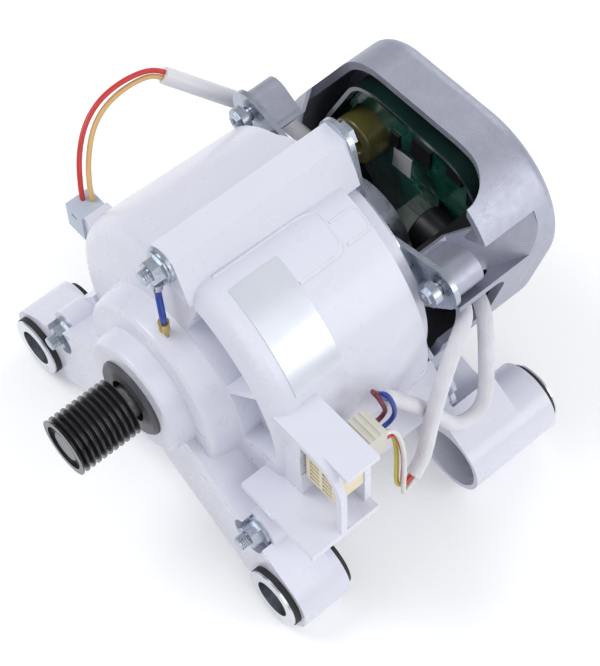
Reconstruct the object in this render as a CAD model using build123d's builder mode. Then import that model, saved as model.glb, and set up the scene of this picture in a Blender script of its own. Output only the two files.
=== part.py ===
from build123d import *
from math import atan2, cos, degrees, pi, radians, sin, tan
import os

os.makedirs("parts", exist_ok=True)

# All lengths are in millimetres. The shaft runs along Y, the pulley's front face is at Y = 0,
# +Y points to the controller, +Z is up and the motor stands on its four lugs.

# How far a cut runs past the face that it opens

overshoot = 1.0

# Pulley, a ribbed one for a belt of the J section
groove_pitch = 2.34
groove_count = 10
groove_depth = 2.0
crest_flat = 0.55
valley_flat = 0.3
pulley_radius = 10.75
pulley_recess_radius = 8.4
pulley_recess_depth = 1.2
pulley_width = groove_pitch * groove_count

# Shaft, with its steps from the pulley seat to the rear bearing
shaft_end = 0.6
shaft_radius = 6.0
bearing_bore_radius = 7.5
shaft_collar_radius = 9.6
core_seat_radius = 10.0
shaft_flat_depth = 0.9
shaft_seat_lead = 1.0
shaft_end_chamfer = 0.6

# Deep groove ball bearings, 15 x 35 x 11
bearing_radius = 17.5
bearing_width = 11.0
ball_radius = 2.98
ball_pitch_radius = 12.5
ball_count = 8
race_clearance = 0.07
inner_land_radius = 10.7
outer_land_radius = 14.3
cage_half_thickness = 0.7
cage_width = 1.8
ring_chamfer = 0.5

# Axial stations of the housing
nose_front = 28.5
nose_wall = 3.0
step_front = 36.5
face_inner = 46.5
face_outer = 49.5
cavity_front = 57.5
stack_front = 66.0
stack_length = 38.0
barrel_rear = 111.0
neck_rear = 118.0
neck_floor = 113.0

# Housing radii
nose_radius = 22.0
nose_draft = 1.0
step_radius = 32.0
step_draft = 2.0
barrel_radius = 55.3
barrel_draft = 1.6
neck_radius = 46.0
neck_bore_radius = 43.0
hub_bore_radius = 19.0
coil_room_radius = 44.0
shoulder_fillet = 7.0
nose_fillet = 1.6
step_fillet = 2.0

# Recess in the front face, between the nose and the rim, on the connector's side
recess_inner_radius = 35.5
recess_outer_radius = 49.5
recess_floor = 54.0
recess_start_angle = 0.0
recess_end_angle = 74.0
recess_rib_angle = 36.0
recess_rib_width = 2.4

# Cap in front of the front bearing
cap_radius = 14.5
cap_front = 26.6
cap_clearance = 0.1
cap_edge = 1.0
cap_web = 1.4
cap_skirt_inset = 1.2
cap_bore_clearance = 0.6

# Stator stack and winding
stack_radius = 48.0
yoke_inner_radius = 41.5
tooth_count = 12
tooth_width = 7.0
shoe_radius = 27.8
shoe_thickness = 2.2
shoe_angle = 23.0
insulator_thickness = 1.5
coil_clearance = 0.3
coil_thickness = 3.7
coil_end_thickness = 5.0
coil_inner_radius = 31.0
coil_depth = 9.4
coil_corner = 2.0

# Rotor
rotor_core_radius = 23.0
magnet_radius = 27.0
magnet_count = 8
magnet_gap_angle = 3.0
rotor_length = 42.0
rotor_hole_radius = 3.5
rotor_hole_circle = 16.5

# Through bolts, M5, that clamp the rear end plate to the housing
bolt_circle = 60.0
bolt_count = 3
bolt_start_angle = 90.0
bolt_radius = 2.45
bolt_clearance = 0.35
washer_clearance = 0.15
bolt_head_flats = 8.0
bolt_head_height = 3.5
nut_height = 4.0
nut_washer_radius = 6.4
nut_washer_thickness = 1.2
top_seat = 47.5
arm_seat = 37.4
bolt_tip_reach = 3.6

# Ridges that carry the through bolts along the barrel
ridge_crown = 5.2
ridge_half_width = 5.2
ridge_base_half_width = 12.0
ridge_root = 11.0
ridge_fillet = 1.5
bolt_boss_radius = 8.0
bolt_seat_radius = 7.0

# Rear end plate, pressed from zinc-plated sheet
plate_thickness = 2.0
plate_radius = 43.0
plate_lobe_radius = 8.0
plate_lobe_root_radius = 14.0
plate_lobe_root_circle = 34.0
plate_blend = 9.0
cup_wall = 2.0
rear_bearing_inset = 1.5
cup_lip_radius = 9.5
controller_bolt_circle = 55.0
controller_start_angle = 30.0
controller_lobe_radius = 8.5

# Controller housing, a die-cast cup that opens toward the motor
controller_depth = 46.0
controller_wall = 3.0
controller_back = 3.5
controller_round_radius = 50.0
controller_corner_radius = 34.0
controller_corner_offset = 22.0
controller_left_radius = 22.0
controller_left_x = -13.0
controller_left_z = 33.0
controller_back_fillet = 5.0
controller_boss_radius = 6.5
controller_boss_length = 12.0
controller_root_radius = 14.0
controller_root_circle = 42.0
flute_half_width = 8.0
flute_floor = 46.0
flute_wall = 1.6
flute_overlap = 0.4
flute_turn = 134.0
flute_end = 158.0
flute_end_radius = 63.5
window_left = -40.0
window_right = 42.0
window_depth = 27.5
window_corner = 13.0
window_sill = 20.0
lead_notch_low = -7.0
lead_notch_high = 20.0
lead_notch_depth = 21.0
lead_notch_corner = 5.0
controller_screw_radius = 2.4
controller_screw_head_radius = 4.6
controller_screw_head_height = 3.0
controller_screw_length = 12.0

# Controller board, its tray and what is soldered on it
tray_corner_radius = 18.0
tray_corner_x = 20.0
tray_corner_z = 29.0
tray_left_radius = 15.5
tray_left_x = -12.5
tray_left_z = 31.5
tray_round_radius = 40.0
tray_wall = 1.5
tray_floor = 1.5
tray_depth = 12.0
tray_gap = 6.0
tray_post_radius = 3.2
tray_post_x = 27.0
tray_post_top_x = 20.0
tray_post_top = 38.0
tray_post_low = -20.0
board_thickness = 1.6
board_clearance = 0.3
board_screw_radius = 1.4
board_screw_head_radius = 2.7
board_screw_head_height = 1.8
board_screw_depth = 3.5
screw_fit = 0.05
resin_thickness = 2.2
resin_clearance = 0.3
module_width = 44.0
module_height = 24.0
module_z = 4.0
module_clearance = 1.0
chip_thickness = 3.0
lying_capacitor_clearance = 1.7
lying_capacitor_left = 13.5
lying_capacitor_length = 14.0
lying_capacitor_z = 1.0
standing_capacitor_radius = 8.5
standing_capacitor_z = -29.0
standing_capacitor_height = 28.0
capacitor_rim = 1.0
film_capacitor_x = 4.0
film_capacitor_z = -14.0
film_capacitor_width = 14.0
film_capacitor_thickness = 9.0
film_capacitor_height = 15.4
choke_x = -21.0
choke_z = 17.0
choke_radius = 9.5
choke_bore_radius = 4.5
choke_height = 11.4
lead_header_left = 28.5
lead_header_right = 36.0
lead_header_low = 3.0
lead_header_high = 21.0
lead_header_height = 27.4
sensor_header_right = -28.0
sensor_header_left = -36.0
sensor_header_low = -8.0
sensor_header_high = 4.0
sensor_header_height = 19.4

# Phase pins from the winding to the board
phase_circle = 36.0
phase_start_angle = 255.0
phase_count = 3
phase_width = 3.0
phase_thickness = 0.8
phase_clearance = 0.8

# Rotor position sensor in front of the magnets
sensor_board_inner = 21.0
sensor_board_outer = 30.0
sensor_board_span = 60.0
sensor_board_thickness = 1.2
sensor_foot_radius = 28.8
sensor_foot_width = 1.6
sensor_foot_height = 1.0
sensor_board_clearance = 0.5

# Lugs and their bushes
lug_x = 66.5
lug_z = -51.4
lug_radius = 14.0
bush_radius = 11.7
bush_core_radius = 10.4
sleeve_bore_radius = 7.2
sleeve_wall = 1.2
sleeve_flange_radius = 11.4
sleeve_flange_thickness = 0.8
bush_proud = 2.2
front_lug_front = 33.0
front_lug_length = 20.0
rear_lug_front = 125.0
rear_lug_length = 25.0
lug_fit = 0.02
bush_room = 0.5

# Arms that carry the lugs
arm_root_x = 18.0
arm_root_z = -22.0
arm_root_radius = 15.3
arm_width = 17.5
rear_arm_root_x = 32.0
rear_arm_root_z = -27.0
rear_arm_root_radius = 12.0
rear_arm_front = 112.0
rear_arm_end = 137.0
rear_arm_clearance = 1.5
lobe_relief = 0.6

# Connector bracket and the shelf in front of it
bracket_inner_x = 47.0
bracket_outer_x = 79.5
bracket_top_z = 24.0
bracket_wall = 2.5
bracket_front = 50.0
bracket_length = 16.0
bracket_arch = 13.0
bracket_window_x = 60.2
bracket_reveal = 1.5
shelf_z = -9.4
shelf_front = 37.7
shelf_wall = 3.0
shelf_inner_x = 44.0

# Signal connector, two columns of five contacts, and the plug behind it
connector_x = 61.2
connector_width = 13.8
connector_z = 3.0
connector_height = 14.0
connector_inset = 1.4
contact_columns = 2
contact_rows = 5
contact_pitch_x = 6.0
contact_pitch_z = 2.5
contact_size = 1.7
contact_cell_width = 4.5
contact_depth = 5.0
plug_x = 60.2
plug_width = 10.8
plug_z = 3.5
plug_height = 11.6
plug_length = 13.5
plug_clearance = 0.4
plug_rib_pitch = 2.4
plug_rib_width = 1.2
plug_rib_height = 0.7
contact_pin_size = 0.7
contact_pin_inset = 1.2

# Sensor plug on the left flank and its seat
sensor_seat_left = -56.0
sensor_seat_right = -45.0
sensor_seat_front = 54.0
sensor_seat_length = 10.0
sensor_seat_low = 7.0
sensor_seat_high = 19.0
sensor_plug_width = 9.0
sensor_plug_overhang = 1.0
sensor_plug_slot = 1.6

# Earth connection between the top nut and the housing step
earth_terminal_thickness = 0.8
earth_terminal_radius = 5.5
earth_tongue_width = 4.0
earth_tongue_end = 52.0
earth_barrel_radius = 1.9
earth_barrel_end = 50.0
earth_barrel_y = 44.2
earth_spade_x = 5.0
earth_spade_y = 41.5
earth_spade_width = 3.6
earth_spade_thickness = 0.8
earth_spade_foot = 29.0
earth_spade_top = 36.0
earth_spade_barrel_top = 39.0
earth_slot_clearance = 0.05

# Rating plate, left bare
rating_front = 59.0
rating_rear = 79.0
rating_start_angle = 72.2
rating_span = 43.0
rating_thickness = 0.3

# Leads
sleeve_radius = 2.8
wire_radius = 0.85
sensor_tube_radius = 3.2
sensor_wire_radius = 0.95
earth_wire_radius = 1.2

# Derived values
stack_rear = stack_front + stack_length
stack_middle = stack_front + stack_length / 2
rotor_front = stack_middle - rotor_length / 2
rotor_rear = stack_middle + rotor_length / 2
plate_rear = neck_rear + plate_thickness
lobe_rear = plate_rear + plate_thickness
front_bearing = nose_front + nose_wall
front_bearing_rear = front_bearing + bearing_width
rear_bearing = plate_rear + rear_bearing_inset
rear_bearing_rear = rear_bearing + bearing_width
wave_washer_room = 1.2
wave_washer_clearance = 0.4
cup_rear = rear_bearing_rear + wave_washer_room + cup_wall
shaft_rear = rear_bearing_rear
controller_front = lobe_rear
controller_rear = controller_front + controller_depth
connector_front = bracket_front + connector_inset
connector_rear = bracket_front + bracket_length - bracket_wall
bracket_rear = bracket_front + bracket_length
plug_front = connector_rear
plug_rear = plug_front + plug_length
controller_back_face = controller_rear - controller_back
tray_rear = controller_back_face - tray_gap
tray_front = tray_rear - tray_depth
board_rear = tray_rear - tray_floor
board_front = board_rear - board_thickness
resin_front = board_front - resin_thickness
lying_capacitor_radius = (board_front - cup_rear - lying_capacitor_clearance) / 2
terminal_front = top_seat - nut_washer_thickness - earth_terminal_thickness


def station(y):
    """Plane square to the shaft at the distance y behind the pulley's front face."""
    return Plane.XZ.offset(-y)


def write(builder, name):
    """Label a finished piece and write it."""
    builder.part.label = name
    export_step(builder.part, "parts/" + name + ".step")


def lug_places():
    """The lug axes, left and right, in the plane square to the shaft."""
    return [(-lug_x, lug_z), (lug_x, lug_z)]


def bolt_places():
    """Through-bolt axes as X and Z, the top one first."""
    step = 2 * pi / bolt_count
    start = radians(bolt_start_angle)
    return [
        (bolt_circle * cos(start + step * i), bolt_circle * sin(start + step * i)) for i in range(bolt_count)
    ]


def screw_places():
    """Controller screw axes as X and Z."""
    start = radians(controller_start_angle)
    step = 2 * pi / bolt_count
    angles = [start + step * i for i in range(bolt_count)]
    return [(controller_bolt_circle * cos(a), controller_bolt_circle * sin(a)) for a in angles]


# Pulley: a revolved blank with ten V grooves
with BuildPart() as pulley:
    with BuildSketch(Plane.XY) as pulley_profile:
        with BuildLine():
            rib = [(pulley_radius, 0)]
            for groove in range(groove_count):
                start = groove * groove_pitch
                rib.append((pulley_radius, start + crest_flat / 2))
                rib.append((pulley_radius - groove_depth, start + groove_pitch / 2 - valley_flat / 2))
                rib.append((pulley_radius - groove_depth, start + groove_pitch / 2 + valley_flat / 2))
                rib.append((pulley_radius, start + groove_pitch - crest_flat / 2))
            rib.append((pulley_radius, pulley_width))
            rib.append((shaft_radius, pulley_width))
            rib.append((shaft_radius, pulley_recess_depth))
            rib.append((pulley_recess_radius, pulley_recess_depth))
            rib.append((pulley_recess_radius, 0))
            Polyline(*rib, close=True)
        make_face()
    revolve(axis=Axis.Y)
write(pulley, "pulley")

# Shaft with its steps and the flat beside the pulley
with BuildPart() as shaft:
    with BuildSketch(Plane.XY):
        with BuildLine():
            Polyline(
                (0, shaft_end),
                (shaft_radius - shaft_end_chamfer, shaft_end),
                (shaft_radius, shaft_end + shaft_end_chamfer),
                (shaft_radius, front_bearing - shaft_seat_lead),
                (bearing_bore_radius, front_bearing - shaft_seat_lead),
                (bearing_bore_radius, front_bearing_rear),
                (shaft_collar_radius, front_bearing_rear),
                (shaft_collar_radius, rotor_front - 4),
                (core_seat_radius, rotor_front - 4),
                (core_seat_radius, rotor_rear),
                (shaft_collar_radius, rotor_rear),
                (shaft_collar_radius, rear_bearing),
                (bearing_bore_radius, rear_bearing),
                (bearing_bore_radius, shaft_rear),
                (0, shaft_rear),
                close=True,
            )
        make_face()
    revolve(axis=Axis.Y)
    with BuildSketch(station(pulley_width + 0.2)):
        with Locations((0, shaft_radius)):
            Rectangle(2 * shaft_radius, 2 * shaft_flat_depth)
    extrude(amount=-(cap_front - pulley_width - 0.6), mode=Mode.SUBTRACT)
write(shaft, "shaft")

# Rotor core on the shaft, with lightening holes
with BuildPart() as rotor_core:
    with BuildSketch(station(rotor_front)):
        Circle(rotor_core_radius)
        Circle(core_seat_radius, mode=Mode.SUBTRACT)
        with PolarLocations(rotor_hole_circle, magnet_count):
            Circle(rotor_hole_radius, mode=Mode.SUBTRACT)
    extrude(amount=-rotor_length)
write(rotor_core, "rotor_core")

# Magnet segments around the core
with BuildPart() as rotor_magnets:
    with BuildSketch(station(rotor_front)):
        Circle(magnet_radius)
        Circle(rotor_core_radius, mode=Mode.SUBTRACT)
        with PolarLocations((magnet_radius + rotor_core_radius) / 2, magnet_count):
            Rectangle(
                magnet_radius - rotor_core_radius + 2 * overshoot,
                2 * magnet_radius * tan(radians(magnet_gap_angle / 2)),
                mode=Mode.SUBTRACT,
            )
    extrude(amount=-rotor_length)
write(rotor_magnets, "rotor_magnets")


def ring_profile(inner, outer, front):
    """Cross-section of a bearing ring from the inner to the outer radius, with its ball groove."""
    middle = front + bearing_width / 2
    with Locations(((inner + outer) / 2, middle)):
        Rectangle(outer - inner, bearing_width)
    with Locations((ball_pitch_radius, middle)):
        Circle(ball_radius + race_clearance, mode=Mode.SUBTRACT)


def make_bearing(name, front):
    """Inner ring, outer ring and caged balls of one bearing."""
    middle = front + bearing_width / 2
    with BuildPart() as inner_ring:
        with BuildSketch(Plane.XY):
            ring_profile(bearing_bore_radius, inner_land_radius, front)
        revolve(axis=Axis.Y)
    write(inner_ring, name + "_bearing_inner_ring")

    with BuildPart() as outer_ring:
        with BuildSketch(Plane.XY):
            ring_profile(outer_land_radius, bearing_radius, front)
        revolve(axis=Axis.Y)
    write(outer_ring, name + "_bearing_outer_ring")

    with BuildPart() as balls:
        with BuildSketch(Plane.XY):
            with Locations((ball_pitch_radius, middle)):
                Rectangle(2 * cage_half_thickness, cage_width)
        revolve(axis=Axis.Y)
        with Locations(station(middle)):
            with PolarLocations(ball_pitch_radius, ball_count):
                Sphere(ball_radius)
    write(balls, name + "_bearing_balls")


make_bearing("front", front_bearing)
make_bearing("rear", rear_bearing)

# Cap in front of the front bearing, a pressed disc with a turned edge
with BuildPart() as bearing_cap:
    with BuildSketch(Plane.XY):
        with BuildLine():
            Polyline(
                (bearing_bore_radius + cap_bore_clearance, cap_front),
                (cap_radius - cap_edge, cap_front),
                (cap_radius, cap_front + cap_edge),
                (cap_radius, front_bearing),
                (outer_land_radius - cap_skirt_inset, front_bearing),
                (outer_land_radius - cap_skirt_inset, cap_front + cap_web),
                (bearing_bore_radius + cap_bore_clearance, cap_front + 1.4),
                close=True,
            )
        make_face()
    revolve(axis=Axis.Y)
write(bearing_cap, "bearing_cap")


def tooth_sketch(outer, with_shoes):
    """Yoke ring with its teeth, and the pole shoes where asked."""
    Circle(outer)
    Circle(yoke_inner_radius, mode=Mode.SUBTRACT)
    with PolarLocations(0, tooth_count):
        with Locations(((shoe_radius + shoe_thickness / 2 + yoke_inner_radius) / 2, 0)):
            Rectangle(yoke_inner_radius - shoe_radius - shoe_thickness / 2 + overshoot, tooth_width)
    if with_shoes:
        with BuildSketch(mode=Mode.PRIVATE) as shoes:
            Circle(shoe_radius + shoe_thickness)
            Circle(shoe_radius, mode=Mode.SUBTRACT)
            slot = radians(360 / tooth_count - shoe_angle)
            with PolarLocations(shoe_radius + shoe_thickness / 2, tooth_count, start_angle=180 / tooth_count):
                Rectangle(shoe_thickness * 2, 2 * shoe_radius * tan(slot / 2), mode=Mode.SUBTRACT)
        add(shoes.sketch)


# Laminated stator stack
with BuildPart() as stator_core:
    with BuildSketch(station(stack_front)):
        tooth_sketch(stack_radius, True)
    extrude(amount=-stack_length)
write(stator_core, "stator_core")

# Insulators on the two faces of the stack
for insulator_name, insulator_front in (
    ("front_insulator", stack_front - insulator_thickness),
    ("rear_insulator", stack_rear),
):
    with BuildPart() as insulator:
        with BuildSketch(station(insulator_front)):
            tooth_sketch(neck_bore_radius, True)
        extrude(amount=-insulator_thickness)
    write(insulator, insulator_name)

# Twelve coils, each a closed loop around its tooth
with BuildPart() as stator_coils:
    window_half_length = stack_length / 2 + insulator_thickness + coil_clearance
    window_half_width = tooth_width / 2 + coil_clearance
    for tooth in range(tooth_count):
        angle = radians(360 / tooth_count * tooth)
        outward = (cos(angle), 0, sin(angle))
        root = (coil_inner_radius * cos(angle), stack_middle, coil_inner_radius * sin(angle))
        with BuildSketch(Plane(origin=root, x_dir=(0, 1, 0), z_dir=outward)):
            RectangleRounded(
                2 * (window_half_length + coil_end_thickness),
                2 * (window_half_width + coil_thickness),
                coil_corner,
            )
            Rectangle(2 * window_half_length, 2 * window_half_width, mode=Mode.SUBTRACT)
        extrude(amount=coil_depth)
write(stator_coils, "stator_coils")


def arm_outline(side):
    """Front arm: the straight-sided web from the nose's root to the lug."""
    with BuildSketch(mode=Mode.PRIVATE) as outline:
        with Locations((side * lug_x, lug_z)):
            Circle(lug_radius)
        with Locations((side * arm_root_x, arm_root_z)):
            Circle(arm_root_radius)
        make_hull()
    return outline.sketch


def rear_arm_outline(side):
    """Rear arm: the web from the barrel's flank to the lug."""
    with BuildSketch(mode=Mode.PRIVATE) as outline:
        with Locations((side * lug_x, lug_z)):
            Circle(lug_radius)
        with Locations((side * rear_arm_root_x, rear_arm_root_z)):
            Circle(rear_arm_root_radius)
        make_hull()
    return outline.sketch


def controller_outline(inset):
    """Section of the controller housing, a round cup with two top corners, drawn in by an inset."""
    with BuildSketch(mode=Mode.PRIVATE) as outline:
        Circle(controller_round_radius - inset)
        with Locations((controller_corner_offset, controller_corner_offset)):
            Circle(controller_corner_radius - inset)
        with Locations((controller_left_x, controller_left_z)):
            Circle(controller_left_radius - inset)
        make_hull()
    return outline.sketch


def flute(angle, floor, half_width):
    """Slanting groove behind a screw ear, which fades out at the cup's surface."""
    across = (-sin(angle), 0, cos(angle))
    with BuildPart() as groove:
        with BuildSketch(Plane(origin=(0, 0, 0), x_dir=(cos(angle), 0, sin(angle)), z_dir=across)):
            Polygon(
                (floor, controller_front - overshoot),
                (floor, flute_turn),
                (floor + flute_end_radius - flute_floor, flute_end),
                (2 * flute_end_radius, flute_end),
                (2 * flute_end_radius, controller_front - overshoot),
                align=None,
            )
        extrude(amount=half_width, both=True)
    return groove.part


def plate_outline():
    """Outside of the rear end plate: a disc with a lobe at each through bolt."""
    with BuildSketch(mode=Mode.PRIVATE) as outline:
        Circle(plate_radius)
        for place in range(bolt_count):
            angle = radians(bolt_start_angle + 360 / bolt_count * place)
            with BuildSketch(mode=Mode.PRIVATE) as lobe:
                with Locations((bolt_circle * cos(angle), bolt_circle * sin(angle))):
                    Circle(plate_lobe_radius)
                with Locations((plate_lobe_root_circle * cos(angle), plate_lobe_root_circle * sin(angle))):
                    Circle(plate_lobe_root_radius)
                make_hull()
            add(lobe.sketch)
    return outline.sketch


def bolt_ridge_sketch():
    """Three drafted ridges over the through bolts."""
    with PolarLocations(bolt_circle, bolt_count, start_angle=bolt_start_angle):
        Polygon(
            (-ridge_root, ridge_base_half_width),
            (-ridge_root, -ridge_base_half_width),
            (ridge_crown, -ridge_half_width),
            (ridge_crown, ridge_half_width),
            align=None,
        )


# Moulded stator housing: nose, barrel, arms, lugs and connector bracket in one piece
with BuildPart() as housing:
    with BuildSketch(Plane.XY):
        with BuildLine():
            Polyline(
                (0, nose_front),
                (nose_radius, nose_front),
                (nose_radius + nose_draft, step_front),
                (step_radius, step_front),
                (step_radius + step_draft, face_inner),
                (barrel_radius, face_outer),
                (barrel_radius - barrel_draft, barrel_rear),
                (neck_radius, barrel_rear),
                (neck_radius, neck_rear),
                (0, neck_rear),
                close=True,
            )
        make_face()
    revolve(axis=Axis.Y)
    rims = housing.edges().filter_by(GeomType.CIRCLE)
    shoulder_edge = rims.sort_by(lambda rim: abs(rim.radius - barrel_radius))[0]
    fillet(shoulder_edge, shoulder_fillet)
    rims = housing.edges().filter_by(GeomType.CIRCLE)
    fillet(rims.filter_by(lambda rim: abs(rim.radius - nose_radius) < 0.01), nose_fillet)
    rims = housing.edges().filter_by(GeomType.CIRCLE)
    fillet(rims.filter_by(lambda rim: abs(rim.radius - step_radius) < 0.01), step_fillet)

    # recess in the front face, crossed by one rib
    with BuildSketch(station(0)):
        Circle(recess_outer_radius)
        Circle(recess_inner_radius, mode=Mode.SUBTRACT)
        with BuildSketch(mode=Mode.PRIVATE) as sector:
            with BuildLine():
                reach = 2 * recess_outer_radius
                first = (reach * cos(radians(recess_start_angle)), reach * sin(radians(recess_start_angle)))
                last = (reach * cos(radians(recess_end_angle)), reach * sin(radians(recess_end_angle)))
                Polyline((0, 0), first, (reach, reach), last, close=True)
            make_face()
        add(sector.sketch, mode=Mode.INTERSECT)
        with PolarLocations(0, 1, start_angle=recess_rib_angle):
            with Locations((recess_outer_radius / 2, 0)):
                Rectangle(recess_outer_radius + 2 * overshoot, recess_rib_width, mode=Mode.SUBTRACT)
    extrude(amount=-recess_floor, mode=Mode.SUBTRACT)

    # ridges over the through bolts
    with BuildSketch(station(top_seat)):
        bolt_ridge_sketch()
    extrude(amount=-(neck_rear - top_seat))

    # front arms with their lugs
    for side in (-1, 1):
        with BuildSketch(station(front_lug_front)):
            add(arm_outline(side))
        extrude(amount=-arm_width)
        with BuildSketch(station(front_lug_front + arm_width)):
            add(arm_outline(side))
            Circle(barrel_radius - shoulder_fillet, mode=Mode.INTERSECT)
        extrude(amount=-(cavity_front - front_lug_front - arm_width))
    with BuildSketch(station(front_lug_front)):
        with Locations(*lug_places()):
            Circle(lug_radius)
    extrude(amount=-front_lug_length)
    with BuildSketch(station(arm_seat)):
        with Locations(*bolt_places()[1:]):
            Circle(bolt_boss_radius)
    extrude(amount=-(top_seat - arm_seat))

    # flat seats of the two lower nuts
    with BuildSketch(station(front_lug_front)):
        with Locations(*bolt_places()[1:]):
            Circle(bolt_seat_radius)
    extrude(amount=-(arm_seat - front_lug_front), mode=Mode.SUBTRACT)

    # rear arms with their lugs, kept clear of the controller
    for side in (-1, 1):
        with BuildSketch(station(rear_arm_front)):
            add(rear_arm_outline(side))
        extrude(amount=-(neck_rear - rear_arm_front))
        with BuildSketch(station(neck_rear)):
            add(rear_arm_outline(side))
            add(controller_outline(-rear_arm_clearance), mode=Mode.SUBTRACT)
            offset(plate_outline(), amount=lobe_relief, mode=Mode.SUBTRACT)
        extrude(amount=-(rear_arm_end - neck_rear))
    with BuildSketch(station(rear_lug_front)):
        with Locations(*lug_places()):
            Circle(lug_radius)
    extrude(amount=-rear_lug_length)

    # shelf in front of and below the connector
    with BuildSketch(station(shelf_front)):
        Polygon(
            (shelf_inner_x, shelf_z),
            (bracket_outer_x, shelf_z),
            (bracket_outer_x, shelf_z - shelf_wall),
            (shelf_inner_x, shelf_z - shelf_wall),
            align=None,
        )
    extrude(amount=-(bracket_rear - shelf_front))

    # connector bracket: an arched front plate with a floor and a cover behind it
    with BuildSketch(station(bracket_front)):
        with BuildLine():
            Polyline(
                (bracket_inner_x, shelf_z - shelf_wall),
                (bracket_outer_x, shelf_z - shelf_wall),
                (bracket_outer_x, bracket_top_z - bracket_arch),
            )
            RadiusArc(
                (bracket_outer_x, bracket_top_z - bracket_arch),
                (bracket_outer_x - bracket_arch, bracket_top_z),
                -bracket_arch,
            )
            Polyline(
                (bracket_outer_x - bracket_arch, bracket_top_z),
                (bracket_inner_x, bracket_top_z),
                (bracket_inner_x, shelf_z - shelf_wall),
            )
        make_face()
    extrude(amount=-bracket_length)
    with BuildSketch(station(bracket_front + bracket_wall)):
        Polygon(
            (bracket_inner_x, bracket_top_z - bracket_wall),
            (bracket_outer_x, bracket_top_z - bracket_wall),
            (bracket_outer_x, bracket_top_z),
            (bracket_inner_x, bracket_top_z),
            align=None,
        )
    extrude(amount=-(bracket_length - bracket_wall))
    with BuildSketch(station(bracket_front)):
        with BuildLine():
            inner_arch = bracket_arch - bracket_wall
            Polyline(
                (bracket_window_x, shelf_z),
                (bracket_outer_x - bracket_wall, shelf_z),
                (bracket_outer_x - bracket_wall, bracket_top_z - bracket_wall - inner_arch),
            )
            RadiusArc(
                (bracket_outer_x - bracket_wall, bracket_top_z - bracket_wall - inner_arch),
                (bracket_outer_x - bracket_wall - inner_arch, bracket_top_z - bracket_wall),
                -inner_arch,
            )
            Polyline(
                (bracket_outer_x - bracket_wall - inner_arch, bracket_top_z - bracket_wall),
                (bracket_window_x, bracket_top_z - bracket_wall),
                (bracket_window_x, shelf_z),
            )
        make_face()
    extrude(amount=-(bracket_length - bracket_wall), mode=Mode.SUBTRACT)
    # nothing stands behind the frame's outer side, so the socket's flank is open there
    with BuildSketch(station(bracket_front + bracket_wall)):
        Polygon(
            (bracket_outer_x - bracket_wall - bracket_reveal, shelf_z),
            (bracket_outer_x + overshoot, shelf_z),
            (bracket_outer_x + overshoot, bracket_top_z - bracket_wall),
            (bracket_outer_x - bracket_wall - bracket_reveal, bracket_top_z - bracket_wall),
            align=None,
        )
    extrude(amount=-bracket_length, mode=Mode.SUBTRACT)
    with BuildSketch(station(bracket_front)):
        with Locations((plug_x + plug_width / 2, plug_z + plug_height / 2)):
            Rectangle(plug_width + 2 * plug_clearance, plug_height + 2 * plug_clearance)
    extrude(amount=-(bracket_length + overshoot), mode=Mode.SUBTRACT)

    # seat for the sensor plug on the left flank
    with BuildSketch(station(sensor_seat_front)):
        Polygon(
            (sensor_seat_left, sensor_seat_low),
            (sensor_seat_right, sensor_seat_low),
            (sensor_seat_right, sensor_seat_high),
            (sensor_seat_left, sensor_seat_high),
            align=None,
        )
    extrude(amount=-sensor_seat_length)

    # slot for the earth tab in the top of the step
    with BuildSketch(Plane.XY.offset(earth_spade_foot)):
        with Locations((earth_spade_x, earth_spade_y)):
            Rectangle(
                earth_spade_width + 2 * earth_slot_clearance,
                earth_spade_thickness + 2 * earth_slot_clearance,
            )
    extrude(amount=earth_spade_barrel_top - earth_spade_foot, mode=Mode.SUBTRACT)

    # inner cavity, from the bearing seat to the rear
    with BuildSketch(Plane.XY):
        with BuildLine():
            Polyline(
                (0, nose_front - overshoot),
                (cap_radius + cap_clearance, nose_front - overshoot),
                (cap_radius + cap_clearance, front_bearing),
                (bearing_radius, front_bearing),
                (bearing_radius, front_bearing_rear),
                (hub_bore_radius, front_bearing_rear),
                (hub_bore_radius, cavity_front),
                (coil_room_radius, cavity_front),
                (coil_room_radius, stack_front),
                (stack_radius, stack_front),
                (stack_radius, stack_rear),
                (neck_bore_radius, stack_rear),
                (neck_bore_radius, neck_rear + overshoot),
                (0, neck_rear + overshoot),
                close=True,
            )
        make_face()
    revolve(axis=Axis.Y, mode=Mode.SUBTRACT)

    # bolt holes and lug bores
    with BuildSketch(station(front_lug_front)):
        with Locations(*bolt_places()):
            Circle(bolt_radius + bolt_clearance)
    extrude(amount=-(neck_rear - front_lug_front), mode=Mode.SUBTRACT)
    with BuildSketch(station(front_lug_front - overshoot)):
        with Locations(*lug_places()):
            Circle(bush_core_radius + lug_fit)
    bore_reach = rear_lug_front + rear_lug_length + 2 * overshoot - front_lug_front
    extrude(amount=-bore_reach, mode=Mode.SUBTRACT)
    with BuildSketch(station(front_lug_front + front_lug_length)):
        with Locations(*lug_places()):
            Circle(bush_radius + bush_room)
    extrude(amount=-(rear_lug_front - front_lug_front - front_lug_length), mode=Mode.SUBTRACT)
write(housing, "stator_housing")


def post_places():
    """Posts between the cup's back and the tray."""
    return [
        (-tray_post_top_x, tray_post_top),
        (tray_post_x, tray_post_top),
        (-tray_post_x, tray_post_low),
        (tray_post_x, tray_post_low),
    ]


def phase_sketch(clearance):
    """Section of the phase pins, widened by a clearance on every side."""
    with BuildSketch(mode=Mode.PRIVATE) as pins:
        step = 360 / tooth_count
        with PolarLocations(
            phase_circle, phase_count, start_angle=phase_start_angle, angular_range=step * phase_count
        ):
            Rectangle(phase_width + 2 * clearance, phase_thickness + 2 * clearance)
    return pins.sketch


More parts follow.
